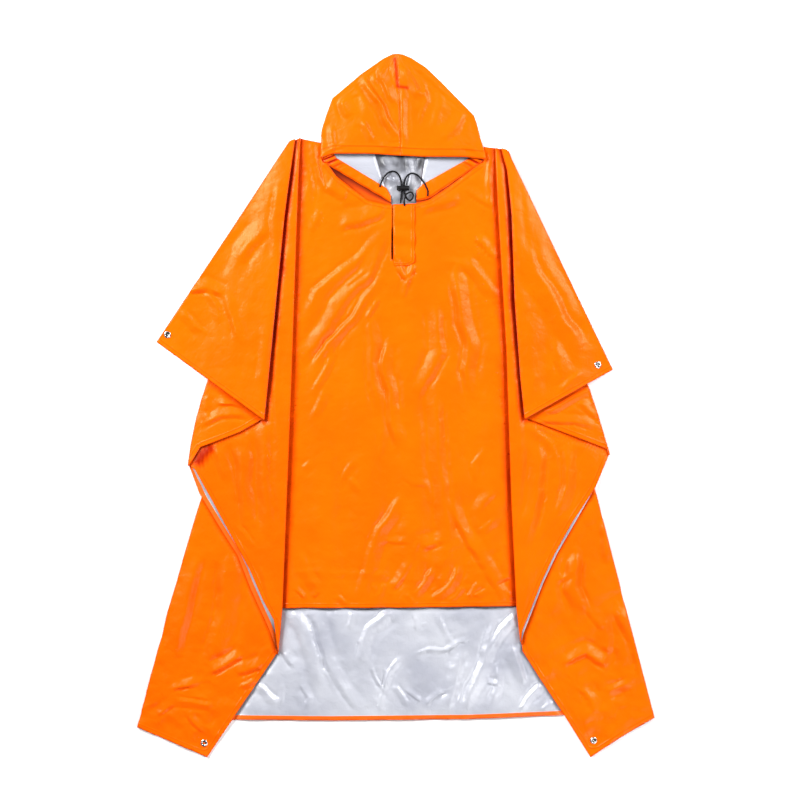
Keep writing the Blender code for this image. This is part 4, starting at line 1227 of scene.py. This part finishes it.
# ---------------------------------------------------------------- chest placket
# A doubled flap of the same orange cloth over the chest slit. It is sewn on along one side, has a row of
# stitching down its free edge, and comes to a point at its foot.
PLACKET = [(-3.2, 409.5), (38.5, 409.5), (38.5, 293), (27, 285), (-3.2, 285)]
head_left, head_right, side_foot, point, foot_left = PLACKET
across = np.linspace(0, 1, 22)
length = np.linspace(0, 1, 60)
plan = net([foot_left, head_left], [side_foot, head_right], [foot_left, point, side_foot],
           [head_left, head_right], across, length)
flat = plan.reshape(-1, 2)
ripples = 1.3 * np.cos((flat[:, 1] - 347 + 0.2 * flat[:, 0]) / 6.5) * smooth((400 - flat[:, 1]) / 30)
high = level(flat, LAYERS[:2]) + 0.65 + relief(flat, "front_5") + ripples + 0.35 * crumple(flat, 16, 2.2)
high = high.reshape(plan.shape[:2])
edge = distance(flat, [foot_left, point, side_foot, head_right]).reshape(plan.shape[:2])
flap, cells, uv, hem_layer, shade_layer = new_net(len(across), len(length), "hem", "shade")
for vert, (column, row) in cells.items():
    vert[hem_layer] = edge[row, column] + 3
    vert.co = Vector((*plan[row, column], high[row, column])) / 1000
for face in flap.faces:
    face.smooth = True
# The under flap closes the slit from behind. It carries the seam allowance's darkest painted shade, so the
# slit shows as dark painted shadow and not the silver of the back.
corners = []
for x, y in ((-17, 284), (2, 284), (2, 408), (-17, 408)):
    corners.append(flap.verts.new((x / 1000, y / 1000, 0.0029)))
    corners[-1][shade_layer] = 1
flap.faces.new(corners).material_index = 2
for face in flap.faces:
    for loop in face.loops:
        loop[uv].uv = (loop.vert.co.x, loop.vert.co.y)
doubled_cloth(flap, "chest_placket_flap", "chest_placket")

# ---------------------------------------------------------------- eyelets
# Four small nickel-plated eyelets, each a flanged ring pressed through the cloth: two at the ends of the
# shoulder line and two at the back's corners.
# The bore is painted near black as painted shade, for the shadow inside the hole; it narrows to a small
# opening at its foot.
bore = new_material("bore_painted_shade", (0.02, 0.018, 0.016), 0.7, Specular_IOR_Level=0.1)
nickel = new_material("bright_nickel", (0.66, 0.65, 0.63), 0.22, Metallic=1.0)
worn = wire(nickel, "ShaderNodeTexNoise", Scale=900, Detail=3)
scratches = wire(nickel, "ShaderNodeMapRange", [("Value", worn.outputs["Fac"])], To_Min=0.16, To_Max=0.36)
feed(nickel, "Roughness", scratches.outputs["Result"])
# The flange in section, as a radius and a height: from the bore's lip, over the crown and down to the cloth.
FLANGE = [(3.7, 1.5), (4.3, 2.0), (5.4, 2.15), (6.5, 1.95), (7.2, 1.3), (7.3, 0.75), (4.6, 0.6)]
BARREL_RADIUS = 4.6
BORE_FOOT_RADIUS = 1.6
BORE_RADIUS = 3.9
for name, (x, y, ply) in EYELETS.items():
    around = np.array([(x + dx, y + dy) for dx, dy in ((0, 0), (5, 0), (-5, 0), (0, 5), (0, -5))])
    heights = level(around, layers_under(ply)) + relief(around, ply)
    normal = Vector((heights[2] - heights[1], heights[4] - heights[3], 10)).normalized()
    foot = 0.8 - heights[0]
    ring = bmesh.new()
    verts = [ring.verts.new((r, 0, z)) for r, z in (*FLANGE, (BARREL_RADIUS, foot), (BORE_FOOT_RADIUS, foot))]
    edges = [ring.edges.new((verts[i], verts[(i + 1) % len(verts)])) for i in range(len(verts))]
    bmesh.ops.spin(ring, geom=verts + edges, cent=(0, 0, 0), axis=(0, 0, 1), angle=2 * math.pi, steps=48,
                   use_merge=True)
    bmesh.ops.recalc_face_normals(ring, faces=ring.faces)
    bmesh.ops.rotate(ring, verts=ring.verts, cent=(0, 0, 0),
                     matrix=normal.to_track_quat("Z", "Y").to_matrix())
    bmesh.ops.translate(ring, verts=ring.verts, vec=(x, y, heights[0] - 0.1))
    bmesh.ops.scale(ring, verts=ring.verts, vec=(0.001, 0.001, 0.001))
    for face in ring.faces:
        face.smooth = True
        middle = face.calc_center_median() * 1000
        face.material_index = 1 if math.hypot(middle.x - x, middle.y - y) < BORE_RADIUS else 0
    mesh = bpy.data.meshes.new(f"eyelet_{name}_ring")
    ring.to_mesh(mesh)
    mesh.materials.append(nickel)
    mesh.materials.append(bore)
    eyelet = new_object(f"eyelet_{name}_ring", mesh)
    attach(eyelet, "root")
    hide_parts(f"eyelet_{name}")
